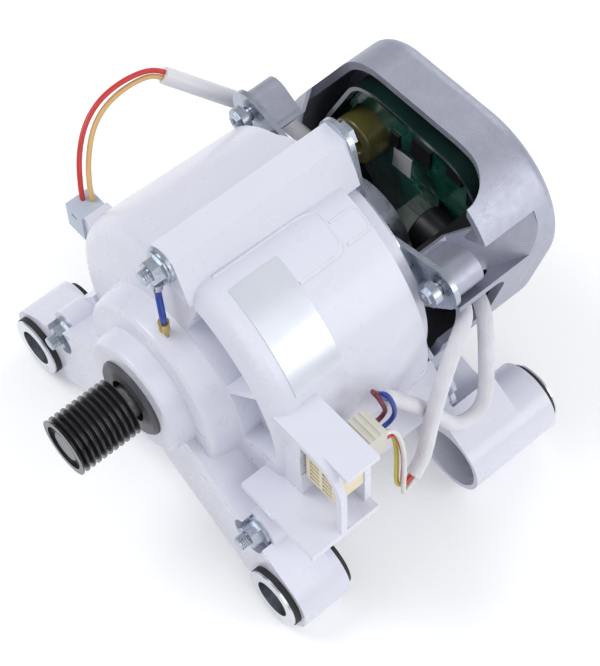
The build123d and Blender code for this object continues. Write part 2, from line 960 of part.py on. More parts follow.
# Rear end plate: lobed disc with a drawn bearing cup and three raised lobes for the controller
with BuildPart() as rear_end_plate:
    with BuildSketch(station(neck_rear)):
        add(plate_outline())
        with Locations(*bolt_places()):
            Circle(bolt_radius + bolt_clearance, mode=Mode.SUBTRACT)
    extrude(amount=-plate_thickness)
    for place_x, place_z in screw_places():
        inward = plate_lobe_root_circle / controller_bolt_circle
        with BuildSketch(station(plate_rear)):
            with BuildSketch(mode=Mode.PRIVATE) as raised:
                with Locations((place_x, place_z)):
                    Circle(controller_lobe_radius)
                with Locations((place_x * inward, place_z * inward)):
                    Circle(plate_lobe_root_radius)
                make_hull()
            add(raised.sketch)
        extrude(amount=-plate_thickness)
    with BuildSketch(Plane.XY):
        with BuildLine():
            Polyline(
                (0, neck_rear - overshoot),
                (bearing_radius, neck_rear - overshoot),
                (bearing_radius, lobe_rear),
                (0, lobe_rear),
                close=True,
            )
        make_face()
    revolve(axis=Axis.Y, mode=Mode.SUBTRACT)
    with BuildSketch(Plane.XY):
        with BuildLine():
            Polyline(
                (bearing_radius, neck_rear),
                (bearing_radius + cup_wall, neck_rear),
                (bearing_radius + cup_wall, cup_rear),
                (cup_lip_radius, cup_rear),
                (cup_lip_radius, cup_rear - cup_wall),
                (bearing_radius, cup_rear - cup_wall),
                close=True,
            )
        make_face()
    revolve(axis=Axis.Y)
    with BuildSketch(station(neck_rear)):
        with Locations(*screw_places()):
            Circle(controller_screw_radius + bolt_clearance)
    extrude(amount=-3 * plate_thickness, mode=Mode.SUBTRACT)
    with BuildSketch(station(neck_rear)):
        add(phase_sketch(phase_clearance))
    extrude(amount=-3 * plate_thickness, mode=Mode.SUBTRACT)
write(rear_end_plate, "rear_end_plate")

# Wave washer that preloads the rear bearing
with BuildPart() as wave_washer:
    with BuildSketch(station(rear_bearing_rear)):
        Circle(bearing_radius - wave_washer_clearance)
        Circle(outer_land_radius - wave_washer_clearance, mode=Mode.SUBTRACT)
    extrude(amount=-wave_washer_room)
write(wave_washer, "wave_washer")

# Through bolts, washers and nuts
with BuildPart() as through_bolts:
    for index, (place_x, place_z) in enumerate(bolt_places()):
        seat = top_seat if index == 0 else arm_seat
        tip = seat - nut_washer_thickness - nut_height - bolt_tip_reach
        with BuildSketch(station(tip)):
            with Locations((place_x, place_z)):
                Circle(bolt_radius)
        extrude(amount=-(plate_rear - tip))
        with BuildSketch(station(plate_rear)):
            with Locations((place_x, place_z)):
                RegularPolygon(bolt_head_flats / 2, 6, major_radius=False)
        extrude(amount=-bolt_head_height)
write(through_bolts, "through_bolts")

with BuildPart() as bolt_washers:
    for index, (place_x, place_z) in enumerate(bolt_places()):
        seat = top_seat if index == 0 else arm_seat
        with BuildSketch(station(seat - nut_washer_thickness)):
            with Locations((place_x, place_z)):
                Circle(nut_washer_radius)
                Circle(bolt_radius + washer_clearance, mode=Mode.SUBTRACT)
        extrude(amount=-nut_washer_thickness)
write(bolt_washers, "bolt_washers")

with BuildPart() as bolt_nuts:
    for index, (place_x, place_z) in enumerate(bolt_places()):
        seat = top_seat - earth_terminal_thickness if index == 0 else arm_seat
        with BuildSketch(station(seat - nut_washer_thickness - nut_height)):
            with Locations((place_x, place_z)):
                RegularPolygon(bolt_head_flats / 2, 6, major_radius=False)
                Circle(bolt_radius, mode=Mode.SUBTRACT)
        extrude(amount=-nut_height)
write(bolt_nuts, "bolt_nuts")

# Controller housing
with BuildPart() as controller_housing:
    with BuildSketch(station(controller_front)):
        add(controller_outline(0))
    extrude(amount=-controller_depth)
    back_edges = controller_housing.faces().sort_by(Axis.Y)[-1].edges()
    fillet(back_edges, controller_back_fillet)
    with BuildSketch(station(controller_front)):
        with BuildSketch(mode=Mode.PRIVATE) as low_lobe:
            with Locations((0, -controller_bolt_circle)):
                Circle(controller_boss_radius)
            with Locations((0, -controller_root_circle)):
                Circle(controller_root_radius)
            make_hull()
        add(low_lobe.sketch)
    extrude(amount=-controller_boss_length)
    with BuildPart(mode=Mode.PRIVATE) as cup_room:
        with BuildSketch(station(controller_front)):
            add(controller_outline(controller_wall))
        extrude(amount=-(controller_depth - controller_back))
        for place_x, place_z in screw_places()[:2]:
            lean = atan2(place_z, place_x)
            walled = flute(lean, flute_floor - flute_wall, flute_half_width + flute_wall)
            add(walled, mode=Mode.SUBTRACT)
    add(cup_room.part, mode=Mode.SUBTRACT)
    for place_x, place_z in screw_places()[:2]:
        add(flute(atan2(place_z, place_x), flute_floor, flute_half_width), mode=Mode.SUBTRACT)
    # open window over the board, from the rim to the rounded rear corners
    with BuildSketch(Plane.XY.offset(window_sill)):
        window_middle = controller_front + window_depth / 2 - window_corner
        with Locations(((window_left + window_right) / 2, window_middle)):
            RectangleRounded(window_right - window_left, window_depth + 2 * window_corner, window_corner)
    extrude(amount=controller_corner_radius + controller_corner_offset, mode=Mode.SUBTRACT)
    # the window reaches the flute on its right
    right_x, right_z = screw_places()[0]
    lean = atan2(right_z, right_x)
    above = (-sin(lean), 0, cos(lean))
    flute_edge = tuple(flute_half_width * part for part in above)
    with BuildSketch(Plane(origin=flute_edge, x_dir=(cos(lean), 0, sin(lean)), z_dir=above)):
        Polygon(
            (flute_floor - 2 * flute_wall, controller_front - overshoot),
            (flute_floor - 2 * flute_wall, controller_front + window_depth - window_corner),
            (2 * flute_floor, controller_front + window_depth - window_corner),
            (2 * flute_floor, controller_front - overshoot),
            align=None,
        )
    extrude(amount=2 * flute_half_width, mode=Mode.SUBTRACT)
    # notches that let the leads out on both flanks
    with BuildSketch(Plane.YZ.offset(-controller_round_radius - controller_corner_radius)):
        notch_height = lead_notch_high - lead_notch_low
        notch_middle = controller_front + (lead_notch_depth - window_corner) / 2
        with Locations((notch_middle, lead_notch_low + notch_height / 2)):
            RectangleRounded(lead_notch_depth + window_corner, notch_height, lead_notch_corner)
    extrude(amount=2 * (controller_round_radius + controller_corner_radius), mode=Mode.SUBTRACT)
    # floors of the flutes, which close the cup between the window and the notches
    with BuildPart(mode=Mode.PRIVATE) as flute_floors:
        with BuildSketch(station(controller_front)):
            add(controller_outline(0))
        extrude(amount=-controller_depth)
        with BuildPart(mode=Mode.PRIVATE) as floors:
            for place_x, place_z in screw_places()[:2]:
                lean = atan2(place_z, place_x)
                add(flute(lean, flute_floor - flute_wall, flute_half_width + flute_overlap))
            for place_x, place_z in screw_places()[:2]:
                lean = atan2(place_z, place_x)
                add(flute(lean, flute_floor, 2 * flute_half_width), mode=Mode.SUBTRACT)
        add(floors.part, mode=Mode.INTERSECT)
    add(flute_floors.part)
    # screw ears that stand on the floors
    ear_foot = flute_floor - flute_wall / 2
    ear_middle = (controller_bolt_circle + ear_foot) / 2 / controller_bolt_circle
    with BuildSketch(station(controller_front)):
        for place_x, place_z in screw_places()[:2]:
            lean = degrees(atan2(place_z, place_x))
            with Locations((place_x, place_z)):
                Circle(controller_boss_radius)
            with Locations(Location((place_x * ear_middle, place_z * ear_middle, 0), (0, 0, lean))):
                Rectangle(controller_bolt_circle - ear_foot, 2 * controller_boss_radius)
    extrude(amount=-controller_boss_length)
    with BuildSketch(station(controller_front)):
        with Locations(*screw_places()):
            Circle(controller_screw_radius)
    extrude(amount=-(controller_screw_length - 2 * plate_thickness), mode=Mode.SUBTRACT)
    # posts on the back, which carry the tray
    with BuildSketch(station(tray_rear)):
        with Locations(*post_places()):
            Circle(tray_post_radius)
    extrude(amount=-tray_gap)
    with BuildSketch(station(tray_rear)):
        with Locations(*post_places()):
            Circle(board_screw_radius + screw_fit)
    extrude(amount=-(board_screw_depth + screw_fit), mode=Mode.SUBTRACT)
write(controller_housing, "controller_housing")

# Screws that hold the controller on the raised lobes
with BuildPart() as controller_screws:
    for place_x, place_z in screw_places():
        with BuildSketch(station(neck_rear - controller_screw_head_height)):
            with Locations((place_x, place_z)):
                Circle(controller_screw_head_radius)
        extrude(amount=-controller_screw_head_height)
        with BuildSketch(station(neck_rear)):
            with Locations((place_x, place_z)):
                Circle(controller_screw_radius)
        extrude(amount=-controller_screw_length)
write(controller_screws, "controller_screws")

# Rubber bushes and flanged steel sleeves in the four lugs, a pair in front and a pair behind
for place, front, length, outward in (
    ("front", front_lug_front, front_lug_length, -1),
    ("rear", rear_lug_front, rear_lug_length, 1),
):
    rubber_front = front - bush_proud
    rubber_rear = front + length + bush_proud
    rubber_bore = sleeve_bore_radius + sleeve_wall + lug_fit
    with BuildPart() as bushes:
        for place_x, place_z in lug_places():
            with BuildSketch(Plane(origin=(place_x, 0, place_z), x_dir=(1, 0, 0), z_dir=(0, 0, 1))):
                with BuildLine():
                    Polyline(
                        (rubber_bore, rubber_front),
                        (bush_radius, rubber_front),
                        (bush_radius, front),
                        (bush_core_radius, front),
                        (bush_core_radius, front + length),
                        (bush_radius, front + length),
                        (bush_radius, rubber_rear),
                        (rubber_bore, rubber_rear),
                        close=True,
                    )
                make_face()
            revolve(axis=Axis((place_x, 0, place_z), (0, 1, 0)))
    write(bushes, "bushes_" + place)

    flange_face = rubber_rear if outward > 0 else rubber_front
    flange_middle = flange_face + outward * sleeve_flange_thickness / 2
    with BuildPart() as sleeves:
        for place_x, place_z in lug_places():
            with BuildSketch(Plane(origin=(place_x, 0, place_z), x_dir=(1, 0, 0), z_dir=(0, 0, 1))):
                with Locations((sleeve_bore_radius + sleeve_wall / 2, (rubber_front + rubber_rear) / 2)):
                    Rectangle(sleeve_wall, rubber_rear - rubber_front)
                with Locations(((sleeve_bore_radius + sleeve_flange_radius) / 2, flange_middle)):
                    Rectangle(sleeve_flange_radius - sleeve_bore_radius, sleeve_flange_thickness)
            revolve(axis=Axis((place_x, 0, place_z), (0, 1, 0)))
    write(sleeves, "sleeves_" + place)

# Signal connector in the bracket, with its two columns of cells
with BuildPart() as signal_connector:
    with BuildSketch(station(connector_front)):
        with Locations((connector_x + connector_width / 2, connector_z + connector_height / 2)):
            Rectangle(connector_width, connector_height)
    extrude(amount=-(connector_rear - connector_front))
    with BuildSketch(station(connector_front)):
        with Locations((connector_x + connector_width / 2, connector_z + connector_height / 2)):
            with GridLocations(contact_pitch_x, contact_pitch_z, contact_columns, contact_rows):
                Rectangle(contact_cell_width, contact_size)
    extrude(amount=-contact_depth, mode=Mode.SUBTRACT)
    with BuildSketch(station(connector_front)):
        with Locations((connector_x + connector_width / 2, connector_z + connector_height / 2)):
            with GridLocations(contact_pitch_x, contact_pitch_z, contact_columns, contact_rows):
                Rectangle(contact_pin_size, contact_pin_size)
    extrude(amount=-(connector_rear - connector_front), mode=Mode.SUBTRACT)
write(signal_connector, "signal_connector")

# Contact pins in the cells
with BuildPart() as signal_contacts:
    with BuildSketch(station(connector_front + contact_pin_inset)):
        with Locations((connector_x + connector_width / 2, connector_z + connector_height / 2)):
            with GridLocations(contact_pitch_x, contact_pitch_z, contact_columns, contact_rows):
                Rectangle(contact_pin_size, contact_pin_size)
    extrude(amount=-(connector_rear - connector_front - contact_pin_inset))
write(signal_contacts, "signal_contacts")

# Plug behind the connector, ribbed on its top
with BuildPart() as lead_plug:
    with BuildSketch(station(plug_front)):
        with Locations((plug_x + plug_width / 2, plug_z + plug_height / 2)):
            Rectangle(plug_width, plug_height)
    extrude(amount=-plug_length)
    rib_room = plug_rear - bracket_rear - 2 * plug_rib_width
    with BuildSketch(Plane.XY.offset(plug_z + plug_height)):
        with Locations((plug_x + plug_width / 2, (bracket_rear + plug_rear) / 2)):
            with GridLocations(0, plug_rib_pitch, 1, int(rib_room / plug_rib_pitch) + 1):
                Rectangle(plug_width, plug_rib_width)
    extrude(amount=plug_rib_height)
write(lead_plug, "lead_plug")

# Sensor plug on its seat at the left flank
with BuildPart() as sensor_plug:
    with BuildSketch(station(sensor_seat_front - sensor_plug_overhang)):
        with Locations((sensor_seat_left - sensor_plug_width / 2, (sensor_seat_low + sensor_seat_high) / 2)):
            Rectangle(sensor_plug_width, sensor_seat_high - sensor_seat_low)
            with Locations((0, (sensor_seat_high - sensor_seat_low) / 4)):
                Rectangle(sensor_plug_width / 3, sensor_plug_slot, mode=Mode.SUBTRACT)
    extrude(amount=-sensor_seat_length)
write(sensor_plug, "sensor_plug")

# Earth terminal under the top nut, with its crimp barrel
with BuildPart() as earth_terminal:
    with BuildSketch(station(terminal_front)):
        with Locations((0, bolt_circle)):
            Circle(earth_terminal_radius)
        with Locations((0, (bolt_circle + earth_tongue_end) / 2)):
            Rectangle(earth_tongue_width, bolt_circle - earth_tongue_end)
        with Locations((0, bolt_circle)):
            Circle(bolt_radius + screw_fit, mode=Mode.SUBTRACT)
    extrude(amount=-earth_terminal_thickness)
    with BuildSketch(Plane.XY.offset(earth_barrel_end)):
        with Locations((0, earth_barrel_y)):
            Circle(earth_barrel_radius)
    extrude(amount=earth_tongue_end + overshoot - earth_barrel_end)
write(earth_terminal, "earth_terminal")

# Earth tab in the slot of the step
with BuildPart() as earth_spade:
    with BuildSketch(Plane.XY.offset(earth_spade_foot)):
        with Locations((earth_spade_x, earth_spade_y)):
            Rectangle(earth_spade_width, earth_spade_thickness)
    extrude(amount=earth_spade_top - earth_spade_foot)
    with BuildSketch(Plane.XY.offset(earth_spade_top - overshoot)):
        with Locations((earth_spade_x, earth_spade_y)):
            Circle(earth_barrel_radius)
    extrude(amount=earth_spade_barrel_top - earth_spade_top + overshoot)
write(earth_spade, "earth_spade")

# Rating plate on the barrel
with BuildPart() as rating_plate:
    slope = barrel_draft / (barrel_rear - face_outer)
    start = radians(rating_start_angle)
    radial = (cos(start), 0, sin(start))
    with BuildSketch(Plane(origin=(0, 0, 0), x_dir=radial, z_dir=(-sin(start), 0, cos(start)))):
        with BuildLine():
            near = barrel_radius - slope * (rating_front - face_outer)
            far = barrel_radius - slope * (rating_rear - face_outer)
            Polyline(
                (near, rating_front),
                (near + rating_thickness, rating_front),
                (far + rating_thickness, rating_rear),
                (far, rating_rear),
                close=True,
            )
        make_face()
    revolve(axis=Axis.Y, revolution_arc=rating_span)
write(rating_plate, "rating_plate")


def tray_outline(inset):
    """Section of the controller's tray, drawn in by an inset."""
    with BuildSketch(mode=Mode.PRIVATE) as outline:
        Circle(tray_round_radius - inset)
        with Locations((tray_corner_x, tray_corner_z)):
            Circle(tray_corner_radius - inset)
        with Locations((tray_left_x, tray_left_z)):
            Circle(tray_left_radius - inset)
        make_hull()
    return outline.sketch


# Tray that holds the board and its resin
with BuildPart() as controller_tray:
    with BuildSketch(station(tray_front)):
        add(tray_outline(0))
    extrude(amount=-tray_depth)
    with BuildSketch(station(tray_front)):
        add(tray_outline(tray_wall))
    extrude(amount=-(tray_depth - tray_floor), mode=Mode.SUBTRACT)
    with BuildSketch(station(board_rear)):
        with Locations((0, module_z)):
            Rectangle(module_width + 2 * module_clearance, module_height + 2 * module_clearance)
        with Locations(*post_places()):
            Circle(board_screw_radius + screw_fit)
    extrude(amount=-tray_floor, mode=Mode.SUBTRACT)
write(controller_tray, "controller_tray")

# Circuit board
with BuildPart() as controller_board:
    with BuildSketch(station(board_front)):
        add(tray_outline(tray_wall + board_clearance))
        with Locations(*post_places()):
            Circle(board_screw_radius + screw_fit, mode=Mode.SUBTRACT)
    extrude(amount=-board_thickness)
write(controller_board, "controller_board")

# Screws through the board and the tray
with BuildPart() as board_screws:
    with BuildSketch(station(board_front - board_screw_head_height)):
        with Locations(*post_places()):
            Circle(board_screw_head_radius)
    extrude(amount=-board_screw_head_height)
    with BuildSketch(station(board_front)):
        with Locations(*post_places()):
            Circle(board_screw_radius)
    extrude(amount=-(board_thickness + tray_floor + board_screw_depth))
write(board_screws, "board_screws")


def chip_places():
    """Flat packages on the board: X, Z, width and height."""
    return [(4, 27, 9, 9), (20, 31, 7, 6), (29, 25, 5, 7), (-2, 40, 6, 4), (13, 42, 5, 4), (-9, 22, 4, 7)]


# Resin over the board, open round what stands on it
with BuildPart() as potting_resin:
    with BuildSketch(station(resin_front)):
        add(tray_outline(tray_wall + board_clearance))
        with Locations(*post_places()):
            Circle(board_screw_head_radius + resin_clearance, mode=Mode.SUBTRACT)
        with Locations((choke_x, choke_z)):
            Circle(choke_radius + resin_clearance, mode=Mode.SUBTRACT)
        with Locations((0, standing_capacitor_z)):
            Circle(standing_capacitor_radius + resin_clearance, mode=Mode.SUBTRACT)
        with Locations((film_capacitor_x, film_capacitor_z)):
            Rectangle(
                film_capacitor_width + 2 * resin_clearance,
                film_capacitor_thickness + 2 * resin_clearance,
                mode=Mode.SUBTRACT,
            )
        for chip_x, chip_z, chip_width, chip_height in chip_places():
            with Locations((chip_x, chip_z)):
                Rectangle(
                    chip_width + 2 * resin_clearance, chip_height + 2 * resin_clearance, mode=Mode.SUBTRACT
                )
        with Locations((lying_capacitor_left + lying_capacitor_length / 2, lying_capacitor_z)):
            Rectangle(
                lying_capacitor_length + 2 * resin_clearance,
                2 * lying_capacitor_radius + 2 * resin_clearance,
                mode=Mode.SUBTRACT,
            )
        for left, right, low, high in (
            (lead_header_left, lead_header_right, lead_header_low, lead_header_high),
            (sensor_header_left, sensor_header_right, sensor_header_low, sensor_header_high),
        ):
            with Locations(((left + right) / 2, (low + high) / 2)):
                Rectangle(
                    right - left + 2 * resin_clearance, high - low + 2 * resin_clearance, mode=Mode.SUBTRACT
                )
        add(phase_sketch(resin_clearance), mode=Mode.SUBTRACT)
    extrude(amount=-resin_thickness)
write(potting_resin, "potting_resin")

# Power module between the board and the cup's back, which cools it
with BuildPart() as power_module:
    with BuildSketch(station(board_rear)):
        with Locations((0, module_z)):
            Rectangle(module_width, module_height)
    extrude(amount=-(controller_back_face - board_rear))
write(power_module, "power_module")

# Capacitors of the supply, one lying and one standing
with BuildPart() as bus_capacitors:
    with BuildSketch(Plane.YZ.offset(lying_capacitor_left)):
        with Locations((board_front - lying_capacitor_radius, lying_capacitor_z)):
            Circle(lying_capacitor_radius)
    extrude(amount=lying_capacitor_length)
    with BuildSketch(station(board_front - standing_capacitor_height)):
        with Locations((0, standing_capacitor_z)):
            Circle(standing_capacitor_radius)
    extrude(amount=-standing_capacitor_height)
    can_rims = bus_capacitors.edges().filter_by(GeomType.CIRCLE)
    fillet(can_rims, capacitor_rim)
write(bus_capacitors, "bus_capacitors")

# Film capacitor, a potted block
with BuildPart() as film_capacitor:
    with BuildSketch(station(board_front - film_capacitor_height)):
        with Locations((film_capacitor_x, film_capacitor_z)):
            Rectangle(film_capacitor_width, film_capacitor_thickness)
    extrude(amount=-film_capacitor_height)
    fillet(film_capacitor.faces().sort_by(Axis.Y)[0].edges(), capacitor_rim)
write(film_capacitor, "film_capacitor")

# Choke, a wound ring
choke_plane = Plane(origin=(choke_x, 0, choke_z), x_dir=(1, 0, 0), z_dir=(0, 0, 1))
with BuildPart() as choke:
    with BuildSketch(choke_plane):
        with Locations(((choke_radius + choke_bore_radius) / 2, board_front - choke_height / 2)):
            RectangleRounded(choke_radius - choke_bore_radius, choke_height, capacitor_rim)
    revolve(axis=Axis((choke_x, 0, choke_z), (0, 1, 0)))
write(choke, "choke")

# Flat packages on the board
with BuildPart() as board_chips:
    for chip_x, chip_z, chip_width, chip_height in chip_places():
        with BuildSketch(station(board_front - chip_thickness)):
            with Locations((chip_x, chip_z)):
                Rectangle(chip_width, chip_height)
        extrude(amount=-chip_thickness)
write(board_chips, "board_chips")

# Headers that the leads come out of
with BuildPart() as lead_header:
    with BuildSketch(station(board_front - lead_header_height)):
        with Locations(((lead_header_left + lead_header_right) / 2, (lead_header_low + lead_header_high) / 2)):
            Rectangle(lead_header_right - lead_header_left, lead_header_high - lead_header_low)
    extrude(amount=-lead_header_height)
write(lead_header, "lead_header")

with BuildPart() as sensor_header:
    with BuildSketch(station(board_front - sensor_header_height)):
        with Locations(
            ((sensor_header_left + sensor_header_right) / 2, (sensor_header_low + sensor_header_high) / 2)
        ):
            Rectangle(sensor_header_right - sensor_header_left, sensor_header_high - sensor_header_low)
    extrude(amount=-sensor_header_height)
write(sensor_header, "sensor_header")

# Phase pins from the rear insulator through the end plate to the board
with BuildPart() as phase_pins:
    with BuildSketch(station(stack_rear + insulator_thickness)):
        add(phase_sketch(0))
    extrude(amount=-(board_front - stack_rear - insulator_thickness))
write(phase_pins, "phase_pins")

# Sensor board, an arc in front of the magnets, on feet that stand on the front insulator
with BuildPart() as sensor_board:
    insulator_face = stack_front - insulator_thickness
    foot_front = min(insulator_face - sensor_foot_height, rotor_front - sensor_board_clearance)
    with BuildSketch(station(foot_front - sensor_board_thickness)):
        Circle(sensor_board_outer)
        Circle(sensor_board_inner, mode=Mode.SUBTRACT)
        with BuildSketch(mode=Mode.PRIVATE) as sector:
            half_span = radians(sensor_board_span / 2)
            with BuildLine():
                Polyline(
                    (0, 0),
                    (-2 * sensor_board_outer * cos(half_span), 2 * sensor_board_outer * sin(half_span)),
                    (-2 * sensor_board_outer * cos(half_span), -2 * sensor_board_outer * sin(half_span)),
                    close=True,
                )
            make_face()
        add(sector.sketch, mode=Mode.INTERSECT)
    extrude(amount=-sensor_board_thickness)
    with BuildSketch(station(foot_front)):
        first_foot = 180 - sensor_board_span / 4
        with PolarLocations(
            sensor_foot_radius, 2, start_angle=first_foot, angular_range=sensor_board_span
        ):
            Rectangle(sensor_foot_width, sensor_foot_width)
    extrude(amount=-(insulator_face - foot_front))
write(sensor_board, "sensor_board")


def make_lead(name, points, radius):
    """One free lead: straight runs joined by arcs as large as the runs allow."""
    corners = [Vector(*point) for point in points]
    radii = []
    for before, corner, after in zip(corners, corners[1:], corners[2:]):
        turn = radians((corner - before).get_angle(after - corner))
        run = min((corner - before).length, (after - corner).length)
        radii.append(0.45 * run / tan(turn / 2))
    with BuildPart() as lead:
        with BuildLine() as route:
            FilletPolyline(*corners, radius=radii)
        path = route.wire()
        with BuildSketch(Plane(origin=path @ 0, z_dir=path % 0)):
            Circle(radius)
        sweep(path=path)
    share = lead.part.volume / (pi * radius**2 * path.length)
    print(name, "radii", [round(value, 1) for value in radii])
    print(name, "volume to section times length", round(share, 4))
    write(lead, name)


# Braided sleeves from the board to the plug
make_lead(
    "lead_sleeve_first",
    [
        (lead_header_right, 130.5, 12),
        (46.5, 130.5, 12),
        (56, 125.7, 15.8),
        (61.3, 115.8, 14),
        (65.3, 107, 6.7),
        (68.3, 100, -4.8),
        (70.6, 95.8, -14.5),
        (72.2, 92.4, -21.5),
        (73.3, 87, -24),
    ],
    sleeve_radius,
)
make_lead(
    "lead_sleeve_second",
    [
        (lead_header_right, 137.8, 8),
        (47, 137.8, 8),
        (56, 133.8, 10.3),
        (61.3, 130, 4),
        (65.5, 127, -7),
        (68, 125.4, -15),
        (69.5, 123.2, -22),
        (69.7, 119.4, -25.2),
        (69.1, 114.5, -26),
        (67.9, 110.1, -24),
        (65, 106, -16.5),
        (62.8, 100, -7.5),
        (61.3, 93.2, 2.5),
        (60.3, 86, 12.5),
    ],
    sleeve_radius,
)

# Wires between the first sleeve and the plug
make_lead(
    "wire_red",
    [
        (73.32, 86.41, -23.01),
        (73.83, 83.91, -24.16),
        (74.1, 81.9, -22.9),
        (74.3, 81.4, -18),
        (73.6, 82.6, -8.5),
        (71.8, 82.8, -1),
        (69.6, 82.2, 4.8),
        (69.2, 80, 7.2),
        (69.2, plug_rear, 7.2),
    ],
    wire_radius,
)
make_lead(
    "wire_yellow_green",
    [
        (72.34, 86.98, -24.67),
        (72.99, 83.77, -26.16),
        (72.6, 81.2, -25),
        (72.2, 80.4, -19.8),
        (71.3, 81.4, -9.8),
        (69.3, 82.6, -1.6),
        (67.4, 82, 3.6),
        (66.8, 80, 5.8),
        (66.8, plug_rear, 5.8),
    ],
    wire_radius,
)
make_lead(
    "wire_white",
    [
        (74.31, 87.31, -24.52),
        (75.07, 83.56, -26.25),
        (75.9, 80.8, -25.2),
        (76.4, 79.8, -20.2),
        (75.9, 80.6, -10),
        (74.2, 81.8, -0.5),
        (71.2, 82, 6.8),
        (69.4, 80, 10.4),
        (69.4, plug_rear, 10.4),
    ],
    wire_radius,
)

# Wires between the second sleeve and the plug
make_lead(
    "wire_maroon",
    [
        (59.29, 85.98, 12.53),
        (58.82, 82.6, 17.22),
        (59.5, 80.8, 21),
        (60.8, 80, 22.9),
        (62.9, 80.1, 22.5),
        (63.8, 81, 19),
        (64, 82.6, 13.2),
        (63.5, 82.2, 9.8),
        (63.2, 80, 7.9),
        (63.2, plug_rear, 7.9),
    ],
    wire_radius,
)
make_lead(
    "wire_blue",
    [
        (61.29, 85.88, 12.66),
        (60.87, 82.85, 16.87),
        (61.7, 82.5, 20.6),
        (63.8, 82.8, 22.2),
        (65.9, 83.4, 20.2),
        (66.9, 84.2, 14),
        (66.5, 83.2, 9.4),
        (65.9, 80.2, 7.4),
        (65.9, plug_rear, 7.4),
    ],
    wire_radius,
)

# Sensor tube on the left and the two wires from it to the sensor plug
make_lead(
    "sensor_tube",
    [
        (sensor_header_left, 141, 1),
        (-44, 141, 1),
        (-52, 137.8, 5.5),
        (-58.5, 130.5, 13),
        (-64, 122, 20.5),
        (-69.7, 113.7, 27.8),
        (-75.5, 105.8, 34.5),
    ],
    sensor_tube_radius,
)
make_lead(
    "sensor_wire_red",
    [
        (-75.56, 106.44, 35.46),
        (-77.3, 104.1, 37.3),
        (-78.9, 98.2, 38.9),
        (-79.3, 88.5, 39.8),
        (-78, 79, 39),
        (-75, 71, 36),
        (-70, 64.3, 30.8),
        (-65, 60.2, 25.5),
        (-62.6, 58.6, 22.3),
        (-62.6, 58.6, sensor_seat_high),
    ],
    sensor_wire_radius,
)
make_lead(
    "sensor_wire_yellow",
    [
        (-75.56, 105, 33.67),
        (-77, 103.1, 35.2),
        (-78, 98, 36.6),
        (-77.9, 88.8, 37.4),
        (-76.3, 80, 36.6),
        (-73.2, 72.8, 33.7),
        (-68.2, 66.6, 28.6),
        (-63, 62.4, 24.4),
        (-60, 60.8, 22),
        (-60, 60.8, sensor_seat_high),
    ],
    sensor_wire_radius,
)

# Earth wire between the top nut's terminal and the tab on the step
make_lead(
    "earth_wire",
    [
        (0, earth_barrel_y, earth_barrel_end),
        (0, earth_barrel_y, 46.3),
        (earth_spade_x, earth_spade_y, 42.7),
        (earth_spade_x, earth_spade_y, earth_spade_barrel_top),
    ],
    earth_wire_radius,
)
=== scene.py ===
from math import cos, pi, radians, sin, sqrt

import bmesh
import bpy
from mathutils import Matrix, Vector


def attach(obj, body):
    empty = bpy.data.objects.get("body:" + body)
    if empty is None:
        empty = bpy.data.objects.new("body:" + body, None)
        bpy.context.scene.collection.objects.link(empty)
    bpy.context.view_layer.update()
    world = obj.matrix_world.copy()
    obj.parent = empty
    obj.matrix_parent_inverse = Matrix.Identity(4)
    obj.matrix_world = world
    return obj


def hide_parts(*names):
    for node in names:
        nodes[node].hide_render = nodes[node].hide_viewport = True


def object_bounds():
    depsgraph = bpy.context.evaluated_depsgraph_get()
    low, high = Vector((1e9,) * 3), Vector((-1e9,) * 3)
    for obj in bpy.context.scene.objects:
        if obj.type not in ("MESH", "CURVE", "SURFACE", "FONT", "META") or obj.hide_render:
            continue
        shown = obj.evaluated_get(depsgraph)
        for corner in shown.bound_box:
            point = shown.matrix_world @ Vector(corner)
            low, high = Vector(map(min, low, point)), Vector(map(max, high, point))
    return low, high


MM = 0.001

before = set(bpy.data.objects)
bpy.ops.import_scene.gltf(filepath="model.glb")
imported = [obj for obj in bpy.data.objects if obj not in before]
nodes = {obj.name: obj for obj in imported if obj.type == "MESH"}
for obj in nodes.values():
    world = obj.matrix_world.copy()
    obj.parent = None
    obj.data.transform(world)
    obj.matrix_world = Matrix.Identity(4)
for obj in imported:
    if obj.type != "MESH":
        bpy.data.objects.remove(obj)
cad_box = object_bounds()


# Camera at the photograph's viewpoint

camera_place = Vector((0.29399, -0.13662, 0.56842))
camera_right = Vector((0.653661, 0.756486, -0.021345))
camera_up = Vector((-0.634573, 0.563251, 0.529212))
camera_back = camera_right.cross(camera_up).normalized()

camera_data = bpy.data.cameras.new("camera")
camera_data.lens = 108.11
camera_data.sensor_width = 36.0
camera_data.clip_start = 0.01
camera_data.clip_end = 20.0
camera = bpy.data.objects.new("camera", camera_data)
turn = Matrix((camera_right, camera_up, camera_back)).transposed()
camera.matrix_world = Matrix.Translation(camera_place) @ turn.to_4x4()
bpy.context.collection.objects.link(camera)
bpy.context.scene.camera = camera


# Node tools

def new_material(name):
    made = bpy.data.materials.new(name)
    made.use_nodes = True
    tree = made.node_tree
    shader = next(n for n in tree.nodes if n.type == "BSDF_PRINCIPLED")
    return made, tree, shader


def link(tree, a, b):
    tree.links.new(a, b)


def rgba(color):
    return (*color, 1.0)


def scaled(color, share):
    return tuple(min(1.0, c * share) for c in color)


def object_point(tree, stretch=(1, 1, 1)):
    """The place on the object in metres, stretched along its axes."""
    where = tree.nodes.new("ShaderNodeTexCoord")
    mapping = tree.nodes.new("ShaderNodeMapping")
    mapping.inputs["Scale"].default_value = stretch
    link(tree, where.outputs["Object"], mapping.inputs["Vector"])
    return mapping.outputs["Vector"]


def noise(tree, point, scale, detail=3.0, roughness=0.55):
    node = tree.nodes.new("ShaderNodeTexNoise")
    node.inputs["Scale"].default_value = scale
    node.inputs["Detail"].default_value = detail
    node.inputs["Roughness"].default_value = roughness
    link(tree, point, node.inputs["Vector"])
    return node.outputs["Fac"]


